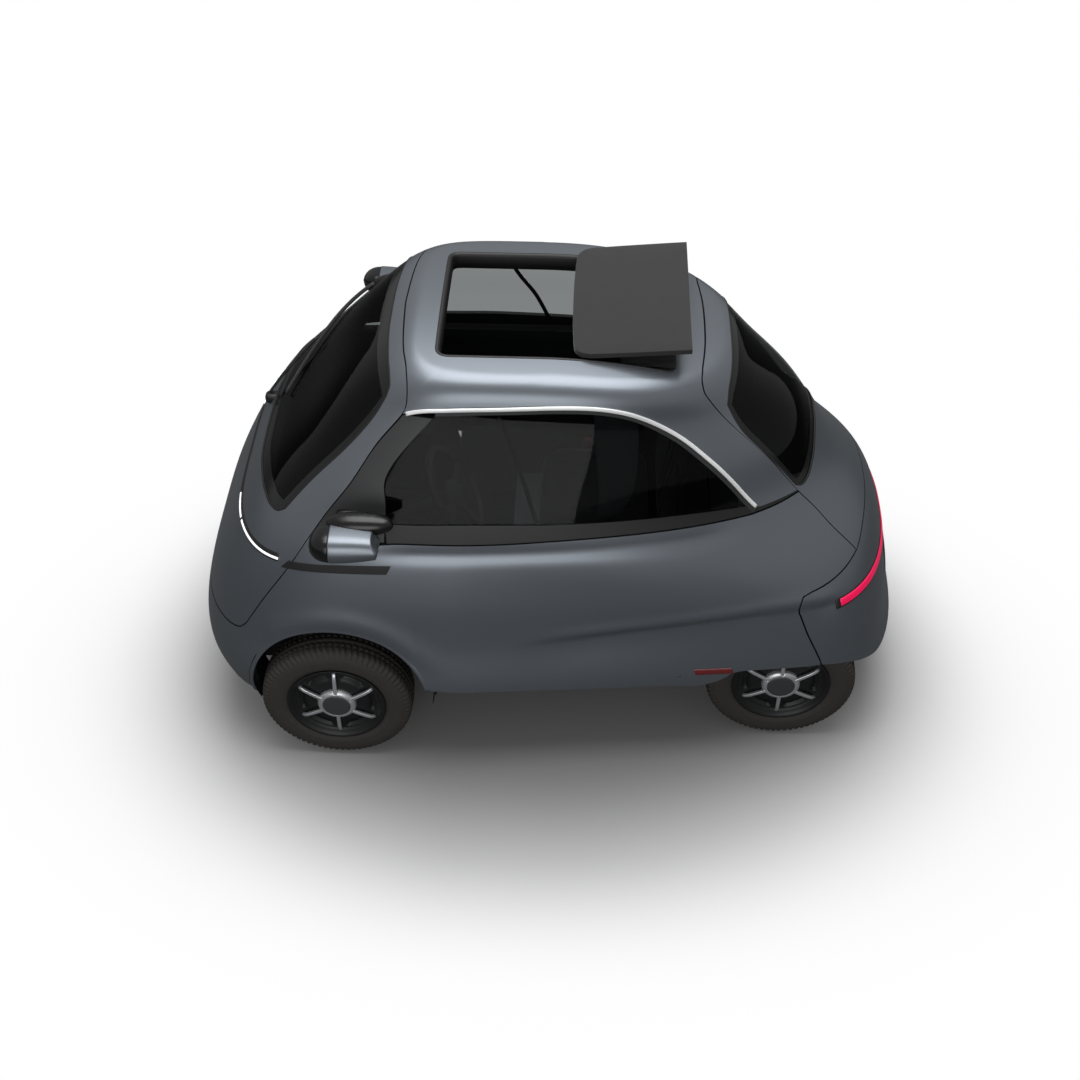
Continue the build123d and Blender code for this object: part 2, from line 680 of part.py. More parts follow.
plate_face = Plane(
    origin=(0, PLATE_CENTRE[1] + PLATE_SIZE[1] / 2, PLATE_CENTRE[2]), x_dir=(1, 0, 0), z_dir=(0, 1, 0)
)
with BuildPart() as plate_holder:
    with Locations(PLATE_CENTRE):
        Box(*PLATE_SIZE)
    fillet(plate_holder.edges().filter_by(Axis.Y), PLATE_CORNER_R)
    add(outer, mode=Mode.SUBTRACT)
    with Locations(plate_face):
        with GridLocations(PLATE_HOLE_SPACING, 1, 2, 1):
            Hole(PLATE_HOLE_R, depth=PLATE_HOLE_DEPTH)
finish(plate_holder.part, "plate_holder")

with BuildPart() as rear_bumper:
    add(shell)
    add(bumper_zone(), mode=Mode.INTERSECT)
    add(above_sill, mode=Mode.INTERSECT)
    add(rear_well, mode=Mode.SUBTRACT)
    add(mirrored(rear_well), mode=Mode.SUBTRACT)
    add(rear_lamps.part, mode=Mode.SUBTRACT)
    with Locations(plate_face):
        with GridLocations(PLATE_HOLE_SPACING, 1, 2, 1):
            Hole(PLATE_HOLE_R, depth=PLATE_HOLE_DEPTH)
finish(rear_bumper.part, "rear_bumper")

# ---- front door
bar_low, bar_high = LIGHT_BAR_Z
door_space = door_zone()
screen_space = screen_zone()
light_bar_space = side_prism(((-FAR, bar_low), (-FAR, bar_high), (0, bar_high), (0, bar_low)))

with BuildPart() as light_bar:
    add(skin)
    add(door_space, mode=Mode.INTERSECT)
    add(light_bar_space, mode=Mode.INTERSECT)
finish(light_bar.part, "light_bar")

with BuildPart() as door_shell:
    add(shell)
    add(door_space, mode=Mode.INTERSECT)
    add(screen_space, mode=Mode.SUBTRACT)
    add(light_bar.part, mode=Mode.SUBTRACT)
finish(door_shell.part, "door_shell")

with BuildPart() as windscreen:
    add(skin)
    add(screen_space, mode=Mode.INTERSECT)
finish(windscreen.part, "windscreen")

with BuildPart() as door_lining:
    add(inner - tub_inner)
    add(door_zone(-LINING_MARGIN), mode=Mode.INTERSECT)
    add(side_prism(((-FAR, 0), (0, 0), (0, LINING_TOP_Z), (-FAR, LINING_TOP_Z))), mode=Mode.INTERSECT)
finish(door_lining.part, "door_lining")

# ---- tailgate
rear_glass_space = rear_glass_zone()

with BuildPart() as tailgate_shell:
    add(shell)
    add(hatch_zone(), mode=Mode.INTERSECT)
    add(bumper_zone(SHUT_GAP), mode=Mode.SUBTRACT)
    add(rear_glass_space, mode=Mode.SUBTRACT)
finish(tailgate_shell.part, "tailgate_shell")

with BuildPart() as rear_glass:
    add(skin)
    add(rear_glass_space, mode=Mode.INTERSECT)
finish(rear_glass.part, "rear_glass")

# ---- wheel housings and floor
#  centre y, centre z, inner x, outer x, lowest z of the inner wall
HOUSINGS = (
    (ARCH_CENTRE[0], ARCH_CENTRE[1], FRONT_HOUSING_X, HOUSING_R, FLOOR_Z - FLOOR_PLATE),
    (REAR_AXLE_Y, TYRE_R, REAR_HOUSING_X, REAR_WELL_R + HOUSING_WALL, REAR_FLOOR_Z - FLOOR_PLATE),
)
with BuildPart() as left_housings:
    for centre_y, centre_z, (low_x, high_x), radius, wall_z in HOUSINGS:
        drum = x_cylinder((centre_y, centre_z), radius, low_x, high_x)
        hollow = x_cylinder((centre_y, centre_z), radius - HOUSING_WALL, low_x + HOUSING_WALL, high_x)
        low_half = side_prism(((-FAR, -FAR), (FAR, -FAR), (FAR, wall_z), (-FAR, wall_z)))
        add(drum - hollow - low_half)
    add(outer - shell, mode=Mode.INTERSECT)

with BuildPart() as wheel_housings:
    add(left_housings.part)
    mirror(about=Plane.YZ)
finish(wheel_housings.part, "wheel_housings")

floor_under = [(y, z - FLOOR_PLATE) for y, z in FLOOR_RUN]
with BuildPart() as floor_pan:
    add(side_prism((*FLOOR_RUN, *floor_under[::-1])))
    add(inner, mode=Mode.INTERSECT)
    tub_low = FLOOR_Z - FLOOR_PLATE
    tub_side = ((-FAR, tub_low), (TUB_REAR_Y, tub_low), (TUB_REAR_Y, TUB_TOP_Z), (-FAR, TUB_TOP_Z))
    add((inner - tub_inner) & side_prism(tub_side))
    for centre_y, centre_z, (low_x, high_x), radius, wall_z in HOUSINGS:
        drum = x_cylinder((centre_y, centre_z), radius, low_x, FAR)
        add(drum, mode=Mode.SUBTRACT)
        add(mirrored(drum), mode=Mode.SUBTRACT)
    with Locations(*[(side * JACK_PADS_X, JACK_PADS_Y, tub_low - JACK_PAD[2] / 2) for side in (-1, 1)]):
        Box(*JACK_PAD)
finish(floor_pan.part, "floor_pan")


# ---- power
with BuildPart() as battery_pack:
    add(block(BATTERY))
finish(battery_pack.part, "battery_pack")

with BuildPart() as drive_motor:
    add(block(MOTOR))
finish(drive_motor.part, "drive_motor")

# ---- suspension
with BuildPart() as front_suspension:
    for points in FRONT_ARMS:
        add(rod(*points, ARM_R))
    add(rod(STRUT_FOOT, STRUT_HEAD, STRUT_R))
    add(block(ARM_BRACKET))
    add(wheel_housings.part, mode=Mode.SUBTRACT)
    add(block(ABOVE_HOUSING), mode=Mode.SUBTRACT)
    mirror(about=Plane.YZ)
finish(front_suspension.part, "front_suspension")

with BuildPart() as rear_suspension:
    add(rod((MOTOR[1], REAR_AXLE_Y, TYRE_R), (REAR_HUB_X, REAR_AXLE_Y, TYRE_R), AXLE_TUBE_R))
    for points in REAR_ARMS:
        add(rod(*points, ARM_R))
    add(rod((REAR_HUB_X, REAR_AXLE_Y, TYRE_R), (REAR_TYRE_X + STUB_REACH, REAR_AXLE_Y, TYRE_R), STUB_R))
    add(rod(DAMPER_FOOT, DAMPER_HEAD, STRUT_R))
    add(floor_pan.part, mode=Mode.SUBTRACT)
    add(block(ABOVE_REAR_FLOOR), mode=Mode.SUBTRACT)
    mirror(about=Plane.YZ)
finish(rear_suspension.part, "rear_suspension")

# ---- wheels
#  name, x of the tyre's middle, axle y, side
WHEELS = (
    ("front_left", FRONT_TYRE_X, FRONT_AXLE_Y, 1),
    ("front_right", FRONT_TYRE_X, FRONT_AXLE_Y, -1),
    ("rear_left", REAR_TYRE_X, REAR_AXLE_Y, 1),
    ("rear_right", REAR_TYRE_X, REAR_AXLE_Y, -1),
)
half = TYRE_WIDTH / 2
bead_x = half - TYRE_BEAD_INSET
shoulder_x = half - TYRE_SHOULDER_INSET
shoulder_r = TYRE_R - TYRE_SHOULDER_DROP
for name, tyre_x, axle_y, side in WHEELS:
    axle = Axis((0, axle_y, TYRE_R), (1, 0, 0))
    hub_plane = Plane(origin=(side * tyre_x, axle_y, TYRE_R), x_dir=(side, 0, 0), z_dir=(0, -side, 0))
    with BuildPart() as tyre:
        with BuildSketch(hub_plane):
            with BuildLine():
                Line((-bead_x, BEAD_R), (bead_x, BEAD_R))
                ThreePointArc((bead_x, BEAD_R), (half, BEAD_R + TYRE_BULGE_RISE), (shoulder_x, shoulder_r))
                ThreePointArc((shoulder_x, shoulder_r), (0, TYRE_R), (-shoulder_x, shoulder_r))
                ThreePointArc((-shoulder_x, shoulder_r), (-half, BEAD_R + TYRE_BULGE_RISE), (-bead_x, BEAD_R))
            make_face()
        revolve(axis=axle)
    finish(tyre.part, f"{name}_tyre")

    with BuildPart() as wheel:
        with BuildSketch(hub_plane):
            with BuildLine():
                Polyline(*RIM_PROFILE, close=True)
            make_face()
        revolve(axis=axle)
        with BuildSketch(Plane.YZ.offset(side * (tyre_x + SPOKE_X))):
            with Locations((axle_y, TYRE_R)):
                with PolarLocations(SPOKE_MID_R, SPOKES, start_angle=30):
                    Rectangle(SPOKE_LENGTH, SPOKE_WIDTH)
        extrude(amount=side * SPOKE_RISE)
    finish(wheel.part, f"{name}_wheel")

# ---- steering
with BuildPart() as left_knuckle:
    add(block(KNUCKLE))
    add(block(KNUCKLE_LUG))
    add(block(STEER_ARM))
    stub_start = (KNUCKLE[0], FRONT_AXLE_Y, TYRE_R)
    stub_end = (FRONT_TYRE_X + STUB_REACH, FRONT_AXLE_Y, TYRE_R)
    add(rod(stub_start, stub_end, STUB_R))
finish(left_knuckle.part, "left_knuckle")

with BuildPart() as right_knuckle:
    add(mirrored(left_knuckle.part))
finish(right_knuckle.part, "right_knuckle")

with BuildPart() as steering_rack:
    add(rod((-RACK_HALF, RACK_Y, RACK_Z), (RACK_HALF, RACK_Y, RACK_Z), RACK_R))
    for x in (-RACK_BRACKET_X, RACK_BRACKET_X):
        bracket_x = (x - RACK_BRACKET_HALF, x + RACK_BRACKET_HALF)
        bracket_y = (RACK_Y - RACK_BRACKET_HALF, RACK_Y + RACK_BRACKET_HALF)
        add(block((*bracket_x, *bracket_y, RACK_Z, FLOOR_Z - FLOOR_PLATE)))
finish(steering_rack.part, "steering_rack")

column_lean = Vector(0, cos(radians(STEER_LEAN_DEG)), sin(radians(STEER_LEAN_DEG)))
steer_centre = Vector(*STEER_CENTRE)
steer_plane = Plane(origin=steer_centre, x_dir=(1, 0, 0), z_dir=column_lean)
with BuildPart() as steering_wheel:
    with Locations(steer_plane.location):
        Torus(STEER_R, STEER_RIM_R)
        with Locations((0, 0, -STEER_HUB_DROP)):
            Cylinder(STEER_HUB_R, STEER_HUB_DEPTH)
        for turn in STEER_SPOKES_DEG:
            with Locations(Location((0, 0, -STEER_SPOKE_DROP), (0, 0, turn))):
                with Locations((STEER_R / 2, 0, 0)):
                    Box(STEER_R - STEER_RIM_R / 2, *STEER_SPOKE)
finish(steering_wheel.part, "steering_wheel")

column_top = steer_centre - column_lean * COLUMN_GAP
column_foot = steer_centre - column_lean * COLUMN_LENGTH
with BuildPart() as steering_column:
    add(rod(column_foot, column_top, COLUMN_R))
    pedestal_x = [column_foot.X + side * COLUMN_FOOT_HALF for side in (-1, 1)]
    pedestal_y = [column_foot.Y + reach for reach in COLUMN_FOOT_Y]
    add(block((*pedestal_x, *pedestal_y, FLOOR_Z, column_foot.Z + COLUMN_FOOT_RISE)))
finish(steering_column.part, "steering_column")

# ---- seat and shelf
with BuildPart() as seat_base:
    add(side_prism(SEAT_PROFILE, -SEAT_HALF, SEAT_HALF))
finish(seat_base.part, "seat_base")

with BuildPart() as seat_back:
    add(side_prism(BACK_PROFILE, -BACK_HALF, BACK_HALF))
finish(seat_back.part, "seat_back")

with BuildPart() as luggage_shelf:
    add(block((-SHELF_HALF, SHELF_HALF, *SHELF_Y, SHELF_Z, SHELF_Z + SHELF_THICKNESS)))
    add(inner, mode=Mode.INTERSECT)
finish(luggage_shelf.part, "luggage_shelf")

# ---- lamp pods on their arms
pod_x, pod_y, pod_z = POD_CENTRE
pod_width, pod_length, pod_height = POD_SIZE
lens_y = pod_y - pod_length / 2 + POD_LENS_DEPTH
with BuildPart() as pod_form:
    with Locations(POD_CENTRE):
        Box(*POD_SIZE)
    fillet(pod_form.edges(), POD_EDGE)

lens_side = side_prism(((-FAR, 0), (lens_y, 0), (lens_y, FAR), (-FAR, FAR)), low_x=0)
with BuildPart() as lamp_lenses:
    add(pod_form.part)
    add(lens_side, mode=Mode.INTERSECT)
    mirror(about=Plane.YZ)
finish(lamp_lenses.part, "lamp_lenses")

with BuildPart() as lamp_pods:
    add(pod_form.part)
    add(lens_side, mode=Mode.SUBTRACT)
    mirror(about=Plane.YZ)
finish(lamp_pods.part, "lamp_pods")

with BuildPart() as mirror_arms:
    add(block(POD_ARM))
    add(outer, mode=Mode.SUBTRACT)
    add(pod_form.part, mode=Mode.SUBTRACT)
    mirror(about=Plane.YZ)
finish(mirror_arms.part, "mirror_arms")
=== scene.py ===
"""Looks of a small egg-shaped car on its CAD frame: skins, glass, lamps, trim, wheels and cabin."""

from math import cos, pi, radians, sin

import bmesh
import bpy
import numpy as np
from mathutils import Matrix, Vector


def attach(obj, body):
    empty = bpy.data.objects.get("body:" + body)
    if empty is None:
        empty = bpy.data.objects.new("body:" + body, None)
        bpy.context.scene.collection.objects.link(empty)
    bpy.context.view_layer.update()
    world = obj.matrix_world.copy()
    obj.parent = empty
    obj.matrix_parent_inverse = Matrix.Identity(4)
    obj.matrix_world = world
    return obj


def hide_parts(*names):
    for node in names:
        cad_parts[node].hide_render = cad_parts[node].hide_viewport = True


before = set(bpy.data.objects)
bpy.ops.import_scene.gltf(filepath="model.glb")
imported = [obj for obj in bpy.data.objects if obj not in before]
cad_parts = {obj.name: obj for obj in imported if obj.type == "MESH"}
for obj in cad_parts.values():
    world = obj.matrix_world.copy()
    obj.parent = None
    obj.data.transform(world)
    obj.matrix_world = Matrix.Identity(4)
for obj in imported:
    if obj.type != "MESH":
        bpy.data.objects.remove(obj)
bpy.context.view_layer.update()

bl_info = {
    "name": "Microcar looks",
    "version": (1, 0, 0),
    "blender": (4, 5, 0),
    "location": "3D View > Sidebar > Microcar",
    "description": "Builds the visible pieces of a small car with a front door on its CAD frame",
    "category": "Object",
}

MM = 0.001
BAND_TURN = 6.3     # a wave texture of scale 1 repeats its bands about 6.3 times a metre
CENTRE = np.array((0.0, -0.1, 0.75))    # a point deep inside the body, from which all its skin can be seen

# ---------------------------------------------------------------- the body's skin
#  height, nose y, tail y, half width, widest y, tail power, tail corner power, tail taper
SKIN_TABLE = np.array((
    (0.20, -1.204, 1.321, 0.725, -0.265, 16.0, 2.12, 0.22),
    (0.35, -1.253, 1.255, 0.737, -0.294, 16.0, 2.12, 0.21),
    (0.55, -1.224, 1.215, 0.706, -0.316, 12.0, 2.18, 0.18),
    (0.75, -1.136, 1.151, 0.681, -0.317, 6.0, 2.27, 0.14),
    (0.95, -1.013, 0.991, 0.634, -0.283, 3.2, 2.03, 0.07),
    (1.15, -0.839, 0.856, 0.556, -0.201, 2.8, 2.12, 0.04),
    (1.35, -0.663, 0.666, 0.458, -0.103, 3.1, 2.32, 0.01),
    (1.50, -0.500, 0.616, 0.442, -0.028, 3.2, 2.38, 0.00),
))
NOSE_POWER = 4.57
NOSE_SIDE_POWER = 3.55
ROOF_TOP = 1.500
ROOF_PEAK_Y = -0.050
ROOF_FALL_BACK = 0.236      # metres of fall for each square metre behind the peak
ROOF_FALL_SIDE = 0.143      # and for each square metre beside the middle
ROOF_EDGE_R = 0.084


def cubic_through(knots, values, at):
    """Piecewise cubic through the values at the knots: each inner slope is the mean of the two chords
    beside it, each weighted by the other's length, and past the ends the curve runs straight on."""
    knots, values, at = np.asarray(knots, float), np.asarray(values, float), np.asarray(at, float)
    step = np.diff(knots)[:, None]
    chord = np.diff(values, axis=0) / step
    slope = np.concatenate((chord[:1], chord[:-1], chord[-1:]))
    slope[1:-1] = (chord[:-1] * step[1:] + chord[1:] * step[:-1]) / (step[:-1] + step[1:])
    inside = np.clip(at, knots[0], knots[-1])
    cell = np.clip(np.searchsorted(knots, inside) - 1, 0, len(knots) - 2)
    width = step[cell]
    t = (inside - knots[cell])[..., None] / width
    start, end = values[cell], values[cell + 1]
    ease = t * t * (3 - 2 * t)
    bend = t * (1 - t) * ((1 - t) * slope[cell] - t * slope[cell + 1]) * width
    beyond = (at - inside)[..., None] * np.where((at < knots[0])[..., None], slope[0], slope[-1])
    return start + (end - start) * ease + bend + beyond


def skin_level(points):
    """Below 0 inside the body, above 0 outside. At each height the plan is |x| / half width to one power
    plus |y - widest| / length to another = 1, with its own powers and taper behind the widest place. The
    roof is a paraboloid, and the two meet in a rounded edge (a smooth maximum)."""
    x, y, z = np.moveaxis(np.asarray(points, float), -1, 0)
    columns = cubic_through(SKIN_TABLE[:, 0], SKIN_TABLE[:, 1:], z)
    nose, tail, half, widest, tail_power, corner_power, taper = np.moveaxis(columns, -1, 0)
    ahead = y < widest
    length = np.where(ahead, widest - nose, tail - widest)
    along = np.maximum(np.abs(y - widest) / length, 1e-9)
    end_power = np.where(ahead, NOSE_POWER, tail_power)
    side_power = np.where(ahead, NOSE_SIDE_POWER, corner_power)
    narrowed = half * np.where(ahead, 1.0, np.maximum(1 - taper * along, 0.3))
    across = np.abs(x) / narrowed + 1e-9
    total = across ** side_power + along ** end_power
    side_steepness = side_power * across ** (side_power - 1) / half
    end_steepness = end_power * along ** (end_power - 1) / length
    wall = (total - 1) / np.maximum(np.hypot(side_steepness, end_steepness), 1.5)
    roof = ROOF_TOP - ROOF_FALL_BACK * np.maximum(y - ROOF_PEAK_Y, 0) ** 2 - ROOF_FALL_SIDE * x ** 2
    above = z - roof
    blend = np.maximum(ROOF_EDGE_R - np.abs(wall - above), 0) / ROOF_EDGE_R
    return np.maximum(wall, above) + blend ** 2 * ROOF_EDGE_R / 4


def onto_skin(points, start=CENTRE, direction=None):
    """Where the rays from start through the points (or along direction) leave the body, by bisection."""
    points = np.asarray(points, float)
    if direction is None:
        origin = np.broadcast_to(start, points.shape)
        ray = points - origin
        ray = ray / np.linalg.norm(ray, axis=-1, keepdims=True)
    else:
        origin = points
        ray = np.broadcast_to(np.asarray(direction, float), points.shape)
    low = np.zeros(points.shape[:-1])
    high = np.full(points.shape[:-1], 2.2)
    for _ in range(32):
        middle = (low + high) / 2
        inside = skin_level(origin + ray * middle[..., None]) < 0
        low = np.where(inside, middle, low)
        high = np.where(inside, high, middle)
    return origin + ray * low[..., None]


def unit(vectors):
    """The vectors at length 1."""
    return vectors / np.maximum(np.linalg.norm(vectors, axis=-1, keepdims=True), 1e-12)


def skin_normals(points):
    """Outward unit normals of the skin: the gradient of skin_level by central differences of 1.5 mm."""
    step = 1.5 * MM
    parts = [skin_level(points + step * axis) - skin_level(points - step * axis) for axis in np.eye(3)]
    return unit(np.stack(parts, axis=-1))


def sunk(points, depth):
    """Skin points moved inwards by depth."""
    return points - skin_normals(points) * depth


def evenly(points, count):
    """The polyline resampled to count points, evenly spaced along it."""
    points = np.asarray(points, float)
    run = np.concatenate(([0.0], np.cumsum(np.linalg.norm(np.diff(points, axis=0), axis=1))))
    at = np.linspace(0, run[-1], count)
    return np.stack([np.interp(at, run, points[:, k]) for k in range(points.shape[1])], axis=-1)


def smooth_path(points, count):
    """A smooth curve through the points, in count evenly spaced points."""
    points = np.asarray(points, float)
    run = np.concatenate(([0.0], np.cumsum(np.linalg.norm(np.diff(points, axis=0), axis=1))))
    return evenly(cubic_through(run, points, np.linspace(0, run[-1], 24 * len(points))), count)


def skin_path(points, count):
    """A smooth curve through the points, laid onto the skin."""
    return onto_skin(smooth_path(points, count))


def chain(*paths):
    """Paths that follow one another, joined without repeating the shared points."""
    return np.concatenate([paths[0]] + [path[1:] for path in paths[1:]])


def flip_x(points):
    """Points mirrored to the car's other side."""
    return points * np.array((-1.0, 1.0, 1.0))


def across_middle(half_path):
    """A path that starts at x = 0, continued to the other side, from the car's right to its left."""
    return np.concatenate((flip_x(half_path)[:0:-1], half_path))


def with_ends(path, start, end):
    """The path moved, each point by its share, so that it starts and ends at the given points."""
    share = np.linspace(0, 1, len(path))[:, None]
    return path + (start - path[0]) * (1 - share) + (end - path[-1]) * share


def patch(bottom, top, rows, left=None, right=None):
    """A grid between two border paths of equal count: a bilinear (Coons) blend of four borders on the skin.
    A border that isn't given is straight before it is laid onto the skin."""
    v = np.linspace(0, 1, rows)[:, None]
    u = np.linspace(0, 1, len(bottom))[None, :, None]
    left = bottom[0] + (top[0] - bottom[0]) * v if left is None else with_ends(left, bottom[0], top[0])
    right = bottom[-1] + (top[-1] - bottom[-1]) * v if right is None else with_ends(right, bottom[-1],
                                                                                    top[-1])
    v = v[:, :, None]
    ruled = (1 - v) * bottom[None] + v * top[None] + (1 - u) * left[:, None] + u * right[:, None]
    corners = (1 - v) * ((1 - u) * bottom[0] + u * bottom[-1]) + v * ((1 - u) * top[0] + u * top[-1])
    return onto_skin(ruled - corners)


def drawn_in(grid, bottom=0.0, top=0.0, left=0.0, right=0.0):
    """The grid's border points moved in along its own lines by a real distance: this leaves the gaps.
    A border's distance is one number, or one for each line that ends there."""
    for low, high, turn in ((bottom, top, False), (left, right, True)):
        if np.any(low) or np.any(high):
            lines = grid.swapaxes(0, 1) if turn else grid
            run = np.concatenate((np.zeros((1, lines.shape[1])),
                                  np.cumsum(np.linalg.norm(np.diff(lines, axis=0), axis=-1), axis=0)))
            at = np.clip(run, low, run[-1] - high)
            out = np.empty_like(lines)
            for column in range(lines.shape[1]):
                for k in range(3):
                    out[:, column, k] = np.interp(at[:, column], run[:, column], lines[:, column, k])
            grid = out.swapaxes(0, 1) if turn else out
    return onto_skin(grid)


# ---------------------------------------------------------------- meshes
class Shape:
    """Collects grids of points and becomes one mesh object at the origin."""

    def __init__(self):
        self.points = []
        self.faces = []
        self.slots = []
        self.count = 0

    def add(self, grid, ring=False, loop=False, caps=False, slot=0, facing=None):
        """Adds a grid. ring joins its last column to its first, loop its last row to its first, caps closes
        the first and last ring, and facing is a point that the faces turn away from."""
        rows, columns = grid.shape[:2]
        index = np.arange(rows * columns).reshape(rows, columns)
        if ring:
            index = np.concatenate((index, index[:, :1]), axis=1)
        if loop:
            index = np.concatenate((index, index[:1]), axis=0)
        quads = np.stack((index[:-1, :-1], index[:-1, 1:], index[1:, 1:], index[1:, :-1]),
                         axis=-1).reshape(-1, 4)
        flat = grid.reshape(-1, 3)
        if facing is not None:
            corner = flat[quads]
            normal = np.cross(corner[:, 2] - corner[:, 0], corner[:, 3] - corner[:, 1])
            if (normal * (corner.mean(axis=1) - facing)).sum() < 0:
                quads = quads[:, ::-1]
        faces = (quads + self.count).tolist()
        if caps:
            faces.append((index[0, :columns][::-1] + self.count).tolist())
            faces.append((index[-1, :columns] + self.count).tolist())
        self.points.append(flat)
        self.faces += faces
        self.slots += np.broadcast_to(slot, len(faces)).tolist()
        self.count += len(flat)
        return self

    def mirrored(self):
        """Adds the mirror image in x = 0 of all that is there."""
        size = self.count
        self.points.append(flip_x(np.concatenate(self.points)))
        self.faces += [[index + size for index in face[::-1]] for face in self.faces]
        self.slots += self.slots
        self.count *= 2
        return self

    def build(self, name, materials, body, slot, replaces=(), closed=True, merge=0.02 * MM):
        """The finished mesh object, riding on its body. A closed shape has its normals turned outwards."""
        mesh = bpy.data.meshes.new(name)
        mesh.from_pydata(np.concatenate(self.points).tolist(), [], self.faces)
        mesh.polygons.foreach_set("material_index", self.slots)
        mesh.polygons.foreach_set("use_smooth", [True] * len(self.slots))
        work = bmesh.new()
        work.from_mesh(mesh)
        bmesh.ops.remove_doubles(work, verts=work.verts, dist=merge)
        bmesh.ops.dissolve_degenerate(work, edges=work.edges, dist=merge)
        if closed:
            bmesh.ops.recalc_face_normals(work, faces=work.faces)
        work.to_mesh(mesh)
        work.free()
        piece = bpy.data.objects.new(name, mesh)
        bpy.context.scene.collection.objects.link(piece)
        for material in materials:
            mesh.materials.append(material)
        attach(piece, body)
        if replaces:
            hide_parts(*replaces)
        return piece


def give_wall(piece, thickness, edge_r, inner_slot=1, rim_slot=1):
    """Thickens an open skin inwards and rounds its rims."""
    wall = piece.modifiers.new("wall", "SOLIDIFY")
    wall.thickness = thickness
    wall.offset = -1
    wall.use_even_offset = False
    wall.material_offset = inner_slot
    wall.material_offset_rim = rim_slot
    round_edges(piece, edge_r)


def round_edges(piece, radius, segments=2, angle=38):
    """Rounds every edge sharper than angle, and keeps broad faces flat in shading."""
    bevel = piece.modifiers.new("rounded edges", "BEVEL")
    bevel.width = radius
    bevel.segments = segments
    bevel.limit_method = "ANGLE"
    bevel.angle_limit = radians(angle)
    bevel.use_clamp_overlap = True
    weighted = piece.modifiers.new("flat faces", "WEIGHTED_NORMAL")
    weighted.keep_sharp = True


def path_frames(path, up):
    """Unit vectors sideways (to the right of the run, seen from outside) and outwards, along a path."""
    tangent = unit(np.gradient(path, axis=0))
    side = unit(np.cross(tangent, up))
    return side, unit(np.cross(side, tangent))


def beside(path, distance):
    """A path on the skin moved sideways in the skin, to the right of its run as seen from outside."""
    side, out = path_frames(path, skin_normals(path))
    return onto_skin(path + side * distance)


def carry(path, up, profile, scale=None):
    """A profile of (sideways, outwards) pairs carried along a path: one ring for each path point."""
    side, out = path_frames(path, up)
    profile = np.asarray(profile, float)
    rings = np.broadcast_to(profile, (len(path), *profile.shape))
    if scale is not None:
        rings = rings * np.asarray(scale)[:, None, None]
    return path[:, None] + rings[..., :1] * side[:, None] + rings[..., 1:] * out[:, None]


def rounded_bar(width, height, corner, drop=0.0, steps=3):
    """A closed profile: a rectangle of width by height with round corners, its middle raised by -drop."""
    turns = [(width / 2 - corner, height / 2 - corner, 0), (corner - width / 2, height / 2 - corner, 90),
             (corner - width / 2, corner - height / 2, 180), (width / 2 - corner, corner - height / 2, 270)]
    points = []
    for x, y, start in turns:
        for step in range(steps + 1):
            angle = radians(start + 90 * step / steps)
            points.append((x + corner * cos(angle), y + corner * sin(angle) - drop))
    return np.array(points)


def circle(radius, count=16):
    """A closed round profile."""
    angle = np.linspace(0, 2 * pi, count, endpoint=False)
    return radius * np.stack((np.cos(angle), np.sin(angle)), axis=-1)


def turned(profile, centre, side=1, count=96):
    """A profile of (distance along +x times side, radius) pairs turned about the x axis through centre:
    y = radius * cos(angle), z = radius * sin(angle). Rows go round, columns follow the profile."""
    profile = np.asarray(profile, float)
    angle = np.linspace(0, 2 * pi, count, endpoint=False)[:, None]
    x = np.broadcast_to(centre[0] + side * profile[None, :, 0], (count, len(profile)))
    y = centre[1] + profile[None, :, 1] * np.cos(angle)
    z = centre[2] + profile[None, :, 1] * np.sin(angle)
    return np.stack((x, y, z), axis=-1)


def box_form(size, power=(0.25, 0.25), rows=24, columns=48):
    """A superellipsoid: x, y, z are signed powers of the cosine and sine products, so low powers give a box
    with round edges and 1 gives an ellipsoid."""
    v = np.linspace(-pi / 2, pi / 2, rows)[:, None]
    u = np.linspace(-pi, pi, columns, endpoint=False)[None, :]

    def signed(value, exponent):
        return np.sign(value) * np.abs(value) ** exponent

    x = signed(np.cos(v), power[0]) * signed(np.cos(u), power[1]) * size[0] / 2
    y = signed(np.cos(v), power[0]) * signed(np.sin(u), power[1]) * size[1] / 2
    z = signed(np.sin(v), power[0]) * np.ones_like(u) * size[2] / 2
    return np.stack((x, y, z), axis=-1)


# ---------------------------------------------------------------- materials
def linear(code):
    """A hex sRGB colour as linear RGBA."""
    channels = [int(code[k:k + 2], 16) / 255 for k in (1, 3, 5)]
    return (*[c / 12.92 if c <= 0.04045 else ((c + 0.055) / 1.055) ** 2.4 for c in channels], 1.0)


def rgba(colour):
    """A colour as linear RGBA, from a hex code or from a property's linear RGB."""
    return linear(colour) if isinstance(colour, str) else (*colour, 1.0)


def node(tree, kind, inputs=None, **settings):
    """Adds a shader node, sets its properties, and fills or links its inputs."""
    made = tree.nodes.new(kind)
    for key, value in settings.items():
        setattr(made, key, value)
    for key, value in (inputs or {}).items():
        if isinstance(value, bpy.types.NodeSocket):
            tree.links.new(value, made.inputs[key])
        else:
            made.inputs[key].default_value = value
    return made


def new_material(name):
    """An empty material with its output and its object coordinates."""
    material = bpy.data.materials.new(name)
    material.use_nodes = True
    tree = material.node_tree
    tree.nodes.clear()
    output = node(tree, "ShaderNodeOutputMaterial")
    place = node(tree, "ShaderNodeTexCoord").outputs["Object"]
    return material, tree, output, place


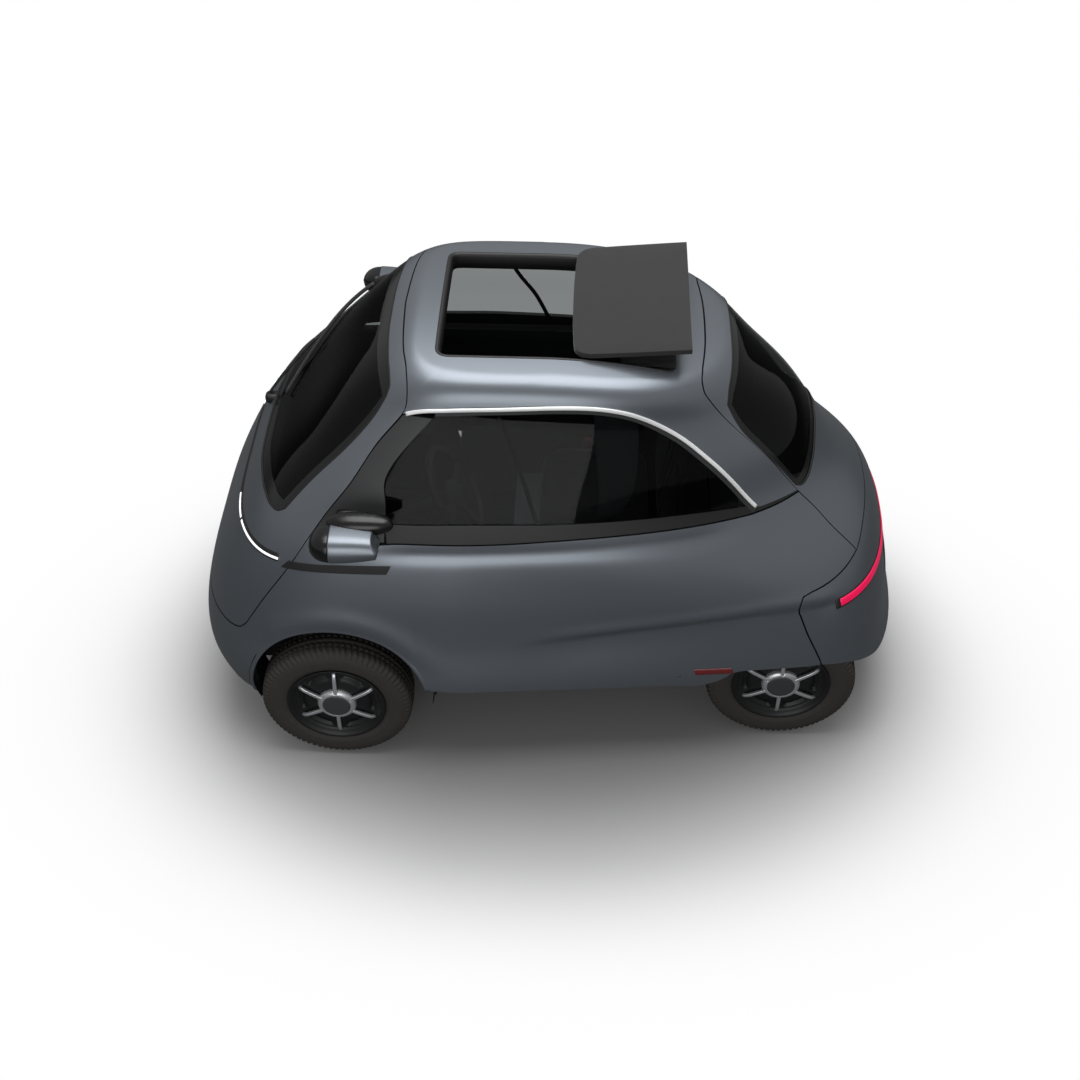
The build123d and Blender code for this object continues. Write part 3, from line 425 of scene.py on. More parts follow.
def speckled(name, colour, other, grain_mm, roughness, metallic=0.0, bump=0.1, bump_mm=0.2, coat=0.0,
             ior=1.5,
             roughness_spread=0.06, sheen=0.0):
    """A surface whose colour and gloss wander between two values over grains of a real size, in relief."""
    material, tree, output, place = new_material(name)
    noise = node(tree, "ShaderNodeTexNoise", {"Vector": place, "Scale": 1 / (grain_mm * MM), "Detail": 4.0})
    mix = node(tree, "ShaderNodeMix", {"Factor": noise.outputs["Fac"]}, data_type="RGBA")
    mix.inputs[6].default_value = rgba(colour)
    mix.inputs[7].default_value = rgba(other)
    gloss = node(tree, "ShaderNodeMapRange", {"Value": noise.outputs["Fac"],
                                               "To Min": roughness - roughness_spread,
                                               "To Max": roughness + roughness_spread})
    relief = node(tree, "ShaderNodeBump", {"Height": noise.outputs["Fac"], "Strength": bump,
                                            "Distance": bump_mm * MM})
    shader = node(tree, "ShaderNodeBsdfPrincipled", {
        "Base Color": mix.outputs[2], "Roughness": gloss.outputs[0], "Metallic": metallic,
        "Normal": relief.outputs[0], "IOR": ior, "Coat Weight": coat, "Coat Roughness": 0.25,
        "Sheen Weight": sheen, "Sheen Roughness": 0.5})
    tree.links.new(shader.outputs[0], output.inputs["Surface"])
    return material


def window_glass(name, tint, straight_on=0.04, grazing=0.96):
    """Tinted laminated glass. Each face mirrors a small share straight on and more at grazing angles, and
    lets a tinted share of the rest straight through."""
    material, tree, output, place = new_material(name)
    through = node(tree, "ShaderNodeBsdfTransparent", {"Color": linear(tint)})
    noise = node(tree, "ShaderNodeTexNoise", {"Vector": place, "Scale": 1 / (160 * MM)})
    haze = node(tree, "ShaderNodeMapRange",
                {"Value": noise.outputs["Fac"], "To Min": 0.015, "To Max": 0.04})
    mirror = node(tree, "ShaderNodeBsdfAnisotropic", {"Roughness": haze.outputs[0]})
    facing = node(tree, "ShaderNodeLayerWeight", {"Blend": 0.5}).outputs["Facing"]
    steep = node(tree, "ShaderNodeMath", {0: facing, 1: 5.0}, operation="POWER")
    share = node(tree, "ShaderNodeMath", {0: steep.outputs[0], 1: grazing, 2: straight_on},
                 operation="MULTIPLY_ADD")
    mix = node(tree, "ShaderNodeMixShader",
               {0: share.outputs[0], 1: through.outputs[0], 2: mirror.outputs[0]})
    tree.links.new(mix.outputs[0], output.inputs["Surface"])
    return material


def glowing(name, colour, light, strength, roughness=0.25):
    """A moulded light guide: glossy plastic that gives off some light of its own."""
    material, tree, output, place = new_material(name)
    ribs = node(tree, "ShaderNodeTexWave",
                {"Vector": place, "Scale": 1 / (9 * MM) / BAND_TURN, "Distortion": 0.0},
                bands_direction="X")
    relief = node(tree, "ShaderNodeBump", {"Height": ribs.outputs["Fac"], "Strength": 0.2,
                                            "Distance": 0.3 * MM})
    shader = node(tree, "ShaderNodeBsdfPrincipled", {
        "Base Color": rgba(colour), "Roughness": roughness, "Normal": relief.outputs[0],
        "Emission Color": rgba(light), "Emission Strength": strength})
    tree.links.new(shader.outputs[0], output.inputs["Surface"])
    return material


MATERIALS = {}


def make_materials(colours):
    """One material for each real finish of the car."""
    MATERIALS.update({
        # Satin metallic lacquer, sprayed: soft broad highlights, fine flake, no mirror image.
        "paint": speckled("satin_metallic_lacquer", colours.paint, colours.paint_flake, 1.2, 0.37, 0.8,
                          0.03, 0.04,
                          0.12),
        # Dull near-black on the backs and rims of the panels: the hidden returns of a panel and its edges in
        # the shut gaps, painted dark as painted shade.
        "panel_back_shade": speckled("panel_back_painted_shade", "#17191b", "#1d2022", 6, 0.6, 0.0, 0.1, 0.1),
        # Moulded black ABS: matt, its fine grain breaks up the highlight.
        "trim": speckled("grained_black_abs", "#141415", "#1b1b1c", 1.6, 0.5, 0.0, 0.25, 0.12),
        "trim_grey": speckled("grained_grey_abs", "#2b2c2d", "#333435", 1.6, 0.5, 0.0, 0.25, 0.12),
        # Extruded rubber seals: nearly black and dull, they draw the line round the glass.
        "rubber": speckled("extruded_rubber", "#0c0c0c", "#131313", 4, 0.7, 0.0, 0.2, 0.2),
        # Brushed, anodised aluminium strip: a smeared mirror, painted near white all over as a painted
        # reflection of the bright sky.
        "bright": speckled("anodised_strip_painted_reflection", "#fbfbfb", "#f2f3f4", 30, 0.34, 0.25, 0.02, 0.02,
                           roughness_spread=0.03),
        # Woven acrylic roof cloth: matt, with a fine rib and a faint sheen at its edges.
        "canopy": cloth("woven_acrylic_canopy", colours.canopy, "#2c2c2d", 1.6, 0.9),
        # Woven polyester seat cloth: coarser threads, soft at the edges of the pads.
        "seat": cloth("woven_seat_cloth", colours.seat, "#2c2c2f", 2.4, 0.9),
        "seat_grey": cloth("woven_grey_cloth", "#55575a", "#626468", 2.4, 0.9),
        # Moulded polypropylene lining: dark grey and dull, with a leather-like grain.
        "lining": speckled("grained_lining", "#232426", "#2a2b2d", 3, 0.65, 0.0, 0.3, 0.2),
        # Vulcanised rubber: brownish black, dusty, with no clear highlight.
        "tyre": speckled("tyre_rubber", "#2a2826", "#373431", 14, 0.75, 0.0, 0.25, 0.3),
        # Painted pressed steel: dark, so that the spokes stand out from it.
        "rim": speckled("black_painted_steel", "#161718", "#1e1f20", 12, 0.45, 0.3, 0.1, 0.1),
        # Machined aluminium: pale, with a soft bright edge.
        "silver": speckled("machined_aluminium", "#d6d8db", "#c6c9cc", 4, 0.36, 0.75, 0.1, 0.05),
        # Sprayed grey lacquer on the hub caps: even and satin.
        "cap": speckled("grey_hub_lacquer", "#4d5054", "#5a5d61", 5, 0.4, 0.6, 0.05, 0.05),
        # Coated chassis steel: black and slightly uneven.
        "steel": speckled("black_chassis_steel", "#1a1b1c", "#232425", 20, 0.55, 0.2, 0.3, 0.3),
        # Sand-cast aluminium: grey and grainy.
        "battery": speckled("cast_aluminium_case", "#7d8084", "#8a8d91", 6, 0.55, 0.9, 0.2, 0.2),
        # Green-grey laminated glass in front and behind, darker privacy glass at the sides.
        "glass": window_glass("tinted_laminated_glass", "#a8acaa", 0.02, 0.7),
        "side_glass": window_glass("dark_tinted_glass", "#b6b8b8", 0.008, 0.5),
        # Moulded acrylic light guides: fine ribs, lit from within.
        "white_light": glowing("light_guide_white", "#f4f6f8", "#ffffff", 0.6),
        "red_light": glowing("light_guide_red", colours.tail_lamp, "#ff1458", 0.35),
        # Moulded red acrylic: ribbed, dark until light falls on it.
        "red_reflector": speckled("ribbed_red_acrylic", "#5c1518", "#7a1e20", 3, 0.2, 0.0, 0.5, 0.5, 0.6),
        # Moulded smoked polycarbonate: a dark, smooth lens with a clear highlight.
        "smoked": speckled("smoked_polycarbonate", "#0b0c0d", "#141516", 25, 0.2, 0.0, 0.05, 0.1),
        # Moulded gloss ABS: black with small sharp highlights.
        "mirror": speckled("gloss_black_abs", "#090909", "#101011", 25, 0.28, 0.0, 0.03, 0.05),
        # Moulded red ABS of the belt buckles: a small dull spot of colour.
        "red_button": speckled("red_abs", "#a01828", "#8c1524", 3, 0.45, 0.0, 0.2, 0.1),
    })


def cloth(name, colour, other, thread_mm, roughness):
    """Woven cloth: two sets of threads as crossed sine bands of the real spacing, with sheen."""
    material, tree, output, place = new_material(name)
    bands = [node(tree, "ShaderNodeTexWave", {"Vector": place, "Scale": 1 / (thread_mm * MM) / BAND_TURN * 2,
                                               "Distortion": 0.6}, bands_direction=axis).outputs["Fac"]
             for axis in ("X", "Y")]
    weave = node(tree, "ShaderNodeMath", {0: bands[0], 1: bands[1]}, operation="MAXIMUM")
    drift = node(tree, "ShaderNodeTexNoise", {"Vector": place, "Scale": 1 / (40 * MM), "Detail": 3.0})
    tone = node(tree, "ShaderNodeMath", {0: weave.outputs[0], 1: drift.outputs["Fac"]},
                operation="MULTIPLY")
    mix = node(tree, "ShaderNodeMix", {"Factor": tone.outputs[0]}, data_type="RGBA")
    mix.inputs[6].default_value = rgba(colour)
    mix.inputs[7].default_value = rgba(other)
    relief = node(tree, "ShaderNodeBump",
                  {"Height": weave.outputs[0], "Strength": 0.35, "Distance": 0.4 * MM})
    shader = node(tree, "ShaderNodeBsdfPrincipled", {
        "Base Color": mix.outputs[2], "Roughness": roughness, "Normal": relief.outputs[0],
        "Sheen Weight": 0.25, "Sheen Roughness": 0.4})
    tree.links.new(shader.outputs[0], output.inputs["Surface"])
    return material


# ---------------------------------------------------------------- lines on the skin (car's left side)
HEADER = ((0, -.494, 1.485), (.133, -.487, 1.485), (.255, -.476, 1.479), (.35, -.458, 1.462),
          (.405, -.45, 1.42),
          (.430, -.456, 1.375), (.437, -.469, 1.353))
PILLAR = ((.437, -.469, 1.353), (.466, -.542, 1.272), (.531, -.64, 1.142), (.568, -.722, 1.043),
          (.59, -.77, .977), (.617, -.846, .864), (.627, -.972, .677), (.622, -1.032, .575))
DOOR_CORNER = ((.622, -1.032, .575), (.612, -1.062, .542), (.588, -1.093, .533), (.55, -1.12, .533))
DOOR_SILL = ((.55, -1.12, .533), (.46, -1.17, .534), (.25, -1.215, .535), (0, -1.223, .535))
HEAD = ((.437, -.469, 1.353), (.444, -.44, 1.372), (.448, -.314, 1.385), (.449, -.156, 1.394),
        (.448, .002, 1.404))
ARCH = ((.448, .002, 1.404), (.445, .096, 1.404), (.441, .175, 1.397), (.43, .287, 1.361),
        (.421, .419, 1.278),
        (.428, .521, 1.191), (.427, .61, 1.086), (.422, .663, 1.004), (.42, .675, .985))
HATCH_TOP = ((.25, .487, 1.423), (.13, .50, 1.427), (0, .503, 1.428))
HATCH_CORNER = ((.331, .52, 1.345), (.325, .494, 1.39), (.30, .486, 1.412), (.25, .487, 1.423))
HATCH_SIDE = ((.331, .52, 1.345), (.332, .552, 1.305), (.336, .654, 1.202), (.325, .767, 1.066),
              (.321, .839, .973))
HATCH_LOW_SIDE = ((.321, .839, .973), (.328, .901, .919), (.35, .976, .835), (.36, 1.061, .745))
BELT = ((.59, -.77, .962), (.609, -.745, .955), (.627, -.479, .967), (.629, -.316, .967),
        (.623, -.153, .971),
        (.611, .01, .98), (.592, .172, .986), (.56, .335, .987), (.514, .5, .984), (.447, .668, .976))
BELT_TAIL = ((.447, .668, .976), (.385, .765, .974), (.321, .839, .973))
BUMPER_TOP = ((0, 1.113, .804), (.119, 1.108, .80), (.246, 1.091, .782), (.36, 1.061, .747))
BUMPER_SIDE_TOP = ((.36, 1.061, .747), (.444, 1.015, .728), (.505, .96, .715), (.54, .905, .708))
BUMPER_CORNER = ((.54, .905, .708), (.56, .878, .70), (.575, .868, .67), (.583, .87, .64))
BUMPER_SIDE = ((.583, .87, .64), (.594, .901, .574), (.603, .968, .423), (.603, .972, .41))
ARCH_CENTRE = (-.72, .295)
ARCH_R = .325
ARCH_SPAN_DEG = (188, 14)
SILL = ((.737, -.405, .3736), (.729, -.226, .367), (.709, -.019, .363), (.688, .189, .360),
        (.668, .398, .358),
        (.652, .556, .356), (.646, .607, .375), (.64, .649, .405), (.63, .743, .414), (.618, .841, .415),
        (.603, .972, .41))
TAIL_EDGE = ((.603, .972, .41), (.571, 1.06, .392), (.527, 1.12, .37), (.463, 1.175, .345),
             (.355, 1.215, .335),
             (.18, 1.235, .33), (0, 1.24, .33))
NOSE_SEAM = ((.48, -1.15, .262), (.48, -1.17, .40), (.48, -1.16, .533))
NOSE_EDGE = ((0, -1.21, .262), (.2, -1.20, .262), (.35, -1.18, .262), (.48, -1.14, .262))
FENDER_EDGE = ((.48, -1.14, .262), (.58, -1.09, .264), (.641, -1.05, .262))


def arch_path(count, grow=0.0, span=ARCH_SPAN_DEG):
    """The front wheel arch: a circle seen from the side, laid onto the skin sideways."""
    angle = np.radians(np.linspace(*span, count))
    radius = ARCH_R + grow
    y = ARCH_CENTRE[0] + radius * np.cos(angle)
    z = ARCH_CENTRE[1] + radius * np.sin(angle)
    return onto_skin(np.stack((np.zeros(count), y, z), axis=-1), direction=(1, 0, 0))


def roof_path(points, count, corner=0.045):
    """A path given by (x, y) corners seen from above, with rounded corners, laid onto the roof."""
    points = np.asarray(points, float)
    rounded = [points[0]]
    for before, at, after in zip(points[:-2], points[1:-1], points[2:]):
        start = at + (before - at) / np.linalg.norm(before - at) * corner
        end = at + (after - at) / np.linalg.norm(after - at) * corner
        for t in np.linspace(0, 1, 7):
            rounded.append((1 - t) ** 2 * start + 2 * t * (1 - t) * at + t ** 2 * end)
    rounded.append(points[-1])
    flat = evenly(rounded, count)
    lifted = np.concatenate((flat, np.full((count, 1), 1.2)), axis=1)
    return onto_skin(lifted, direction=(0, 0, 1))


SUNROOF_HALF = .302
SUNROOF_FRONT_Y = -.372
SUNROOF_REAR_Y = .400
WALL = .040
GAP = .003      # half of a shut gap
STRIP_GAP = .009    # from the middle of the bright strip to the roof panel's edge
GLASS_GAP = .002


# ---------------------------------------------------------------- panels
def build_panel(name, grids, body, replaces, mirror=False, materials=("paint", "panel_back_shade"), wall=WALL,
                edge_r=2 * MM, slot="body_paint"):
    """An outer skin of grids that share borders, thickened inwards."""
    shape = Shape()
    for grid in grids:
        shape.add(grid, facing=CENTRE)
    if mirror:
        shape.mirrored()
    piece = shape.build(name, [MATERIALS[m] for m in materials], body, slot, replaces, closed=False)
    # The wall's back and rim faces take the second material, near-black as painted shade in the shut gaps.
    give_wall(piece, wall, edge_r)
    return piece


def roof_grids():
    """Header, cant rails and rear roof as a ring round the sunroof, and the rear pillar as a patch."""
    counts = (26, 22, 26, 18)
    side_stops = (-.27, .10)
    turn_x = .25
    inner = chain(
        roof_path(((0, SUNROOF_FRONT_Y), (SUNROOF_HALF, SUNROOF_FRONT_Y), (SUNROOF_HALF, side_stops[0])),
                  counts[0]),
        roof_path(((SUNROOF_HALF, side_stops[0]), (SUNROOF_HALF, side_stops[1])), counts[1]),
        roof_path(((SUNROOF_HALF, side_stops[1]), (SUNROOF_HALF, SUNROOF_REAR_Y), (turn_x, SUNROOF_REAR_Y)),
                  counts[2]),
        roof_path(((turn_x, SUNROOF_REAR_Y), (0, SUNROOF_REAR_Y)), counts[3]))
    corner = skin_path(HATCH_CORNER, 13)
    cut = skin_path(((.448, .002, 1.404), (.41, .25, 1.42), corner[7]), counts[2])
    rear = chain(corner[7:], skin_path(HATCH_TOP, counts[3] - 5))
    outer = chain(skin_path(HEADER, counts[0]), skin_path(HEAD, counts[1]), cut, rear)
    rows = 40
    pillar_foot = skin_path(((.42, .675, .985), (.37, .76, .982), (.321, .839, .980)), counts[2])
    shut_line = evenly(chain(corner[7::-1], skin_path(HATCH_SIDE, 60)), rows)
    pillar = patch(cut, pillar_foot, rows, skin_path(ARCH, rows), shut_line)
    pillar = drawn_in(pillar, left=STRIP_GAP, right=GAP)
    gaps = np.full(len(outer), GAP)
    first = counts[0] + counts[1] - 2
    gaps[counts[0]:first] = STRIP_GAP
    gaps[first:first + counts[2]] = 0
    ring = drawn_in(patch(outer, inner, 22), bottom=gaps)
    ring[0, first:first + counts[2]] = pillar[0]
    return ring, pillar


ARCH_LINER_DEG = (200, -14)
LINER_FOOT_Z = .385     # below this behind the wheel the liner stops inside the sill
LINER_FOOT_X = .655
LINER_INSET = .012
LINER_INNER_X = .445
ARCH_STOPS_DEG = (150, 38)      # where the cuts of the side meet the wheel arch


def side_grids():
    """Fender and side as four patches that share cuts: ahead of the arch, over, behind, over the bumper."""
    low, high = ARCH_STOPS_DEG
    arch_front = arch_path(9, span=(ARCH_SPAN_DEG[0], low))
    arch_top = arch_path(38, span=(low, high))
    arch_rear = arch_path(12, span=(ARCH_SPAN_DEG[1], high))
    corner = skin_path(DOOR_CORNER[::-1], 9)
    split = 4
    nose_cut = skin_path((arch_front[-1], (.615, -1.045, .50), corner[split]), 40)
    belt = skin_path(BELT, 70)
    belt_at = int(np.argmin(np.abs(belt[:, 1] + .47)))
    side_cut = skin_path((arch_top[-1], (.70, -.45, .72), belt[belt_at]), 44)

    seam_top = skin_path(((.48, -1.16, .533), (.52, -1.14, .533), (.55, -1.12, .533)), 7)
    nose_top = chain(seam_top, corner[:split + 1])
    nose_right = chain(arch_front, nose_cut)
    ahead = patch(skin_path(FENDER_EDGE, len(nose_top)), nose_top, len(nose_right),
                  skin_path(NOSE_SEAM, len(nose_right)), nose_right)
    ahead = drawn_in(ahead, top=GAP, left=GAP)

    over_top = evenly(chain(corner[split:], skin_path(PILLAR[:3:-1], 60), belt[:belt_at + 1]),
                      len(arch_top))
    over = drawn_in(patch(arch_top, over_top, 40, evenly(nose_cut, 40), evenly(side_cut, 40)), top=GAP)

    seam = chain(skin_path(BUMPER_SIDE[::-1], 26),
                 skin_path((BUMPER_CORNER[3], BUMPER_CORNER[2], BUMPER_CORNER[1]), 6))
    tail_cut = skin_path(((.56, .878, .70), (.52, .76, .85), (.447, .668, .976)), 21)
    right = chain(seam, tail_cut)
    side_cut = evenly(side_cut, 40)
    left = chain(arch_rear, side_cut)
    behind = patch(skin_path(SILL, 56), evenly(belt[belt_at:], 56), len(left), left, right)
    gaps = np.where(np.arange(len(right)) < len(seam), GAP, 0.0)
    behind = drawn_in(behind, top=GAP, right=gaps)

    low_edge = chain(skin_path(BUMPER_CORNER[1::-1], 4), skin_path(BUMPER_SIDE_TOP[::-1], 20))
    above = patch(low_edge, skin_path(BELT_TAIL, 23), 21, tail_cut, skin_path(HATCH_LOW_SIDE[::-1], 21))
    above = drawn_in(above, bottom=GAP, top=GAP, right=GAP)
    behind[len(seam) - 1:, -1] = above[:, 0]
    return [pressed(grid) for grid in (ahead, over, behind, above)]


#  pressed lines of the side, as (y, z) seen from the side
CREASE = np.array(((-.10, .565), (.048, .584), (.267, .612), (.519, .644), (.72, .667), (.871, .665),
                   (.999, .652)))
BELT_HOLLOW = np.array(((-.60, .925), (-.3, .930), (0, .938), (.3, .945), (.65, .940)))


def ramp(value, start, stop):
    """0 before start, 1 after stop, eased between."""
    t = np.clip((value - start) / (stop - start), 0, 1)
    return t * t * (3 - 2 * t)


def pressed(grid):
    """Side panels with their pressed lines: the skin below the crease is set in and runs out again lower
    down, a hollow runs under the belt, and the wing swells over the wheel arch."""
    y, z = grid[..., 1], grid[..., 2]
    below = np.interp(y, CREASE[:, 0], CREASE[:, 1]) - z
    crease = -.009 * ramp(below, -.004, .012) * np.exp(-(np.maximum(below, 0) / .11) ** 2)
    crease = crease + .003 * np.exp(-((below + .022) / .020) ** 2)
    crease = crease * ramp(y, -.12, .20) * (1 - ramp(y, .93, 1.03))
    under = z - np.interp(y, BELT_HOLLOW[:, 0], BELT_HOLLOW[:, 1])
    hollow = -.006 * np.exp(-(under / .024) ** 2) * ramp(y, -.66, -.40) * (1 - ramp(y, .50, .68))
    reach = np.hypot(y - ARCH_CENTRE[0], z - ARCH_CENTRE[1]) - ARCH_R
    swell = .007 * np.exp(-((reach - .035) / .045) ** 2) * ramp(z, .42, .56)
    swell = swell * ramp(y, -1.0, -.93)
    return grid + skin_normals(grid) * (crease + hollow + swell)[..., None]


def nose_grid():
    """The lower nose between the fenders."""
    low = across_middle(skin_path(NOSE_EDGE, 24))
    high = across_middle(skin_path(((0, -1.225, .533), (.25, -1.21, .533), (.48, -1.15, .533)), 24))
    return drawn_in(patch(low, high, 24), top=GAP, left=GAP, right=GAP)


def tail_grid():
    """Half of the rear bumper, from the middle to its slanted side seam."""
    low = skin_path(TAIL_EDGE[::-1], 44)
    high = chain(skin_path(BUMPER_TOP, 20), skin_path(BUMPER_SIDE_TOP, 22), skin_path(BUMPER_CORNER[:2], 4))
    side = chain(skin_path(BUMPER_SIDE[::-1], 38),
                 skin_path((BUMPER_CORNER[3], BUMPER_CORNER[2], BUMPER_CORNER[1]), 7))
    return pressed(drawn_in(patch(low, high, 44, None, side), top=GAP, right=GAP))


SCREEN_FOOT = ((0, -1.028, .950), (.15, -1.02, .955), (.298, -.985, .972), (.40, -.955, .978))
SCREEN_CORNER = ((.40, -.955, .978), (.46, -.93, .978), (.498, -.90, .986), (.507, -.87, 1.004))
SCREEN_SIDE = ((.507, -.87, 1.004), (.483, -.789, 1.096), (.446, -.643, 1.234), (.404, -.546, 1.353),
               (.388, -.522, 1.39))
SCREEN_HEAD = ((.388, -.522, 1.39), (.372, -.514, 1.42), (.335, -.517, 1.44), (.279, -.524, 1.45),
               (.1, -.539, 1.458),
               (0, -.541, 1.46))
REAR_GLASS_HEAD = ((0, .593, 1.399), (.12, .592, 1.394), (.197, .588, 1.382), (.262, .578, 1.355),
                   (.30, .572, 1.318))
REAR_GLASS_SIDE = ((.30, .572, 1.318), (.322, .62, 1.235), (.325, .69, 1.155), (.314, .78, 1.05),
                   (.311, .825, .995))
REAR_GLASS_FOOT = ((.311, .825, .995), (.298, .85, .985), (.261, .868, .990), (.207, .886, 1.016),
                   (.104, .903, 1.064),
                   (0, .905, 1.082))


def door_grid():
    """Half of the front door's skin: a ring from its outer edge to the windscreen."""
    outer = chain(skin_path(DOOR_SILL[::-1], 18), skin_path(DOOR_CORNER[::-1], 8),
                  skin_path(PILLAR[::-1], 40),
                  skin_path(HEADER[::-1], 26))
    inner = chain(skin_path(SCREEN_FOOT, 18), skin_path(SCREEN_CORNER, 8), skin_path(SCREEN_SIDE, 40),
                  skin_path(SCREEN_HEAD, 26))
    return drawn_in(patch(outer, inner, 30), bottom=GAP)


def screen_grid():
    """The windscreen as one full-width patch."""
    low = across_middle(chain(skin_path(SCREEN_FOOT, 24), skin_path(SCREEN_CORNER, 10)))
    high = across_middle(skin_path(SCREEN_HEAD[::-1], 33))
    side = skin_path(SCREEN_SIDE, 40)
    grid = patch(low, high, 40, flip_x(side), side)
    return drawn_in(grid, GLASS_GAP, GLASS_GAP, GLASS_GAP, GLASS_GAP)


def hatch_grid():
    """Half of the tailgate's skin: a ring from its outer edge to the rear window."""
    outer = chain(skin_path(HATCH_TOP[::-1], 14), skin_path(HATCH_CORNER[::-1], 10),
                  skin_path(HATCH_SIDE, 26),
                  skin_path(HATCH_LOW_SIDE, 14), skin_path(BUMPER_TOP[::-1], 22))
    inner = chain(skin_path(REAR_GLASS_HEAD, 23), skin_path(REAR_GLASS_SIDE, 26),
                  evenly(skin_path(REAR_GLASS_FOOT, 60), 35))
    return drawn_in(patch(outer, inner, 22), bottom=GAP)


def rear_glass_grid():
    """The rear window as one full-width patch."""
    low = across_middle(skin_path(REAR_GLASS_FOOT[::-1], 26))
    high = across_middle(skin_path(REAR_GLASS_HEAD, 26))
    side = skin_path(REAR_GLASS_SIDE[::-1], 30)
    grid = patch(low, high, 30, flip_x(side), side)
    return drawn_in(grid, GLASS_GAP, GLASS_GAP, GLASS_GAP, GLASS_GAP)


GLASS_FRONT = ((.606, -.529, 1.032), (.585, -.529, 1.09), (.541, -.527, 1.17), (.528, -.515, 1.19),
               (.482, -.443, 1.276),
               (.453, -.372, 1.352))
GLASS_BELT = ((.606, -.529, 1.032), (.606, -.448, 1.030), (.60, -.25, 1.033), (.595, -.032, 1.035),
              (.552, .3, 1.033),
              (.50, .48, 1.022), (.448, .62, 1.006))
PANE_SPLIT = ((.599, -.033, 1.034), (.53, -.09, 1.198), (.455, -.162, 1.365))


def head_line(count):
    """The whole head of the side window, from the door's edge round to the belt."""
    return evenly(chain(skin_path(HEAD, count), skin_path(ARCH, count)), count)


def from_y(path, y):
    """The part of a path that lies behind y."""
    return path[path[:, 1] >= y]


def window_trim_grids():
    """Front triangle, head band and belt moulding round the side glass."""
    pillar = skin_path(PILLAR[4::-1], 24)
    edge = chain(skin_path(((.622, -.529, .966), (.606, -.529, 1.032)), 5), skin_path(GLASS_FRONT, 20))
    triangle = drawn_in(patch(pillar, edge, 14), GAP, 0, GAP, 0)
    head = from_y(head_line(120), -.372)
    head = evenly(head, 60)
    band = patch(beside(head, .006), beside(head, .021), 4)
    low = evenly(from_y(chain(skin_path(BELT, 80), skin_path(BELT_TAIL, 20)), -.529), 60)
    high = evenly(chain(skin_path(GLASS_BELT, 50),
                        skin_path(((.448, .62, 1.006), (.40, .73, .990), (.324, .834, .982)), 14)), 60)
    moulding = drawn_in(patch(low, high, 8), bottom=GAP)
    return triangle, band, moulding


def side_pane_grids():
    """The two sliding panes of the side window."""
    head = beside(evenly(from_y(head_line(160), -.372), 120), .021)
    split_at = int(np.argmin(np.abs(head[:, 1] + .162)))
    belt = skin_path(GLASS_BELT, 120)
    belt_at = int(np.argmin(np.abs(belt[:, 1] + .033)))
    split = skin_path(PANE_SPLIT, 24)
    front = patch(evenly(belt[:belt_at + 1], 30), evenly(head[:split_at + 1], 30), 24,
                  skin_path(GLASS_FRONT, 24), split)
    rear = patch(evenly(belt[belt_at:], 40), evenly(head[split_at:-8], 40), 24, split, None)
    return front, rear


# ---------------------------------------------------------------- pieces
PLATE_PAD = ((0, 1.243, .440), (.15, 1.237, .440), (.15, 1.208, .560), (0, 1.212, .560))


def add_body_skins():
    """Roof, sides, nose and rear bumper, with the pad that carries the number plate."""
    build_panel("roof_skin", roof_grids(), "car_body", ["roof_shell"], mirror=True)
    left = side_grids()
    build_panel("left_side_skin", left, "car_body", ["left_side_panel"])
    build_panel("right_side_skin", [flip_x(grid) for grid in left], "car_body", ["right_side_panel"])
    build_panel("nose_skin", [nose_grid()], "car_body", ["front_bumper"])
    build_panel("tail_skin", [tail_grid()], "car_body", ["rear_bumper"], mirror=True)
    low = across_middle(skin_path(PLATE_PAD[:2], 30))
    high = across_middle(skin_path(PLATE_PAD[:1:-1], 30))
    pad = Shape()
    pad.add(patch(low, high, 16), facing=CENTRE)
    piece = pad.build("plate_pad", [MATERIALS["trim"]], "car_body", "black_trim", ["plate_holder"],
                      closed=False)
    give_wall(piece, -.003, .001, 0, 0)
    lips = Shape()
    rolled = carry(arch_path(90, -.004), skin_normals(arch_path(90, -.004)),
                   rounded_bar(.016, .006, .003, .001))
    lips.add(rolled, ring=True, caps=True)
    lips.mirrored()
    lips.build("arch_lips", [MATERIALS["paint"]], "car_body", "body_paint")
    edge = arch_path(90, 0, ARCH_LINER_DEG)
    behind = (edge[:, 1] > ARCH_CENTRE[0]) & (edge[:, 2] < LINER_FOOT_Z)
    edge[:, 0] = np.where(behind, LINER_FOOT_X, edge[:, 0] - LINER_INSET)
    inner = edge * np.array((0, 1, 1)) + np.array((LINER_INNER_X, 0, 0))
    share = np.linspace(0, 1, 12)[:, None, None]
    liner = Shape()
    liner.add(inner * (1 - share) + edge * share)
    liner.mirrored()
    piece = liner.build("arch_liners", [MATERIALS["rubber"]], "car_body", "black_trim", closed=False)
    give_wall(piece, .002, .0005, 0, 0)


def add_front_door():
    """The door's skin, the windscreen with its dark printed rim and seal, and the wiper."""
    build_panel("door_skin", [door_grid()], "front_door", ["door_shell"], mirror=True)
    add_glass("front_screen", screen_grid(), "front_door", "windscreen", 3)
    add_glass_seal("screen_seal", chain(skin_path(SCREEN_FOOT, 60), skin_path(SCREEN_CORNER, 20),
                                        skin_path(SCREEN_SIDE, 60), skin_path(SCREEN_HEAD, 60)),
                                        "front_door")
    add_wiper()


WIPER_BLADE = ((-.06, -.93, 1.03), (-.20, -.85, 1.12), (-.33, -.74, 1.22), (-.40, -.66, 1.29))
WIPER_ARM = ((-.18, -1.03, .93), (-.20, -.96, 1.00), (-.22, -.89, 1.07), (-.235, -.83, 1.135))


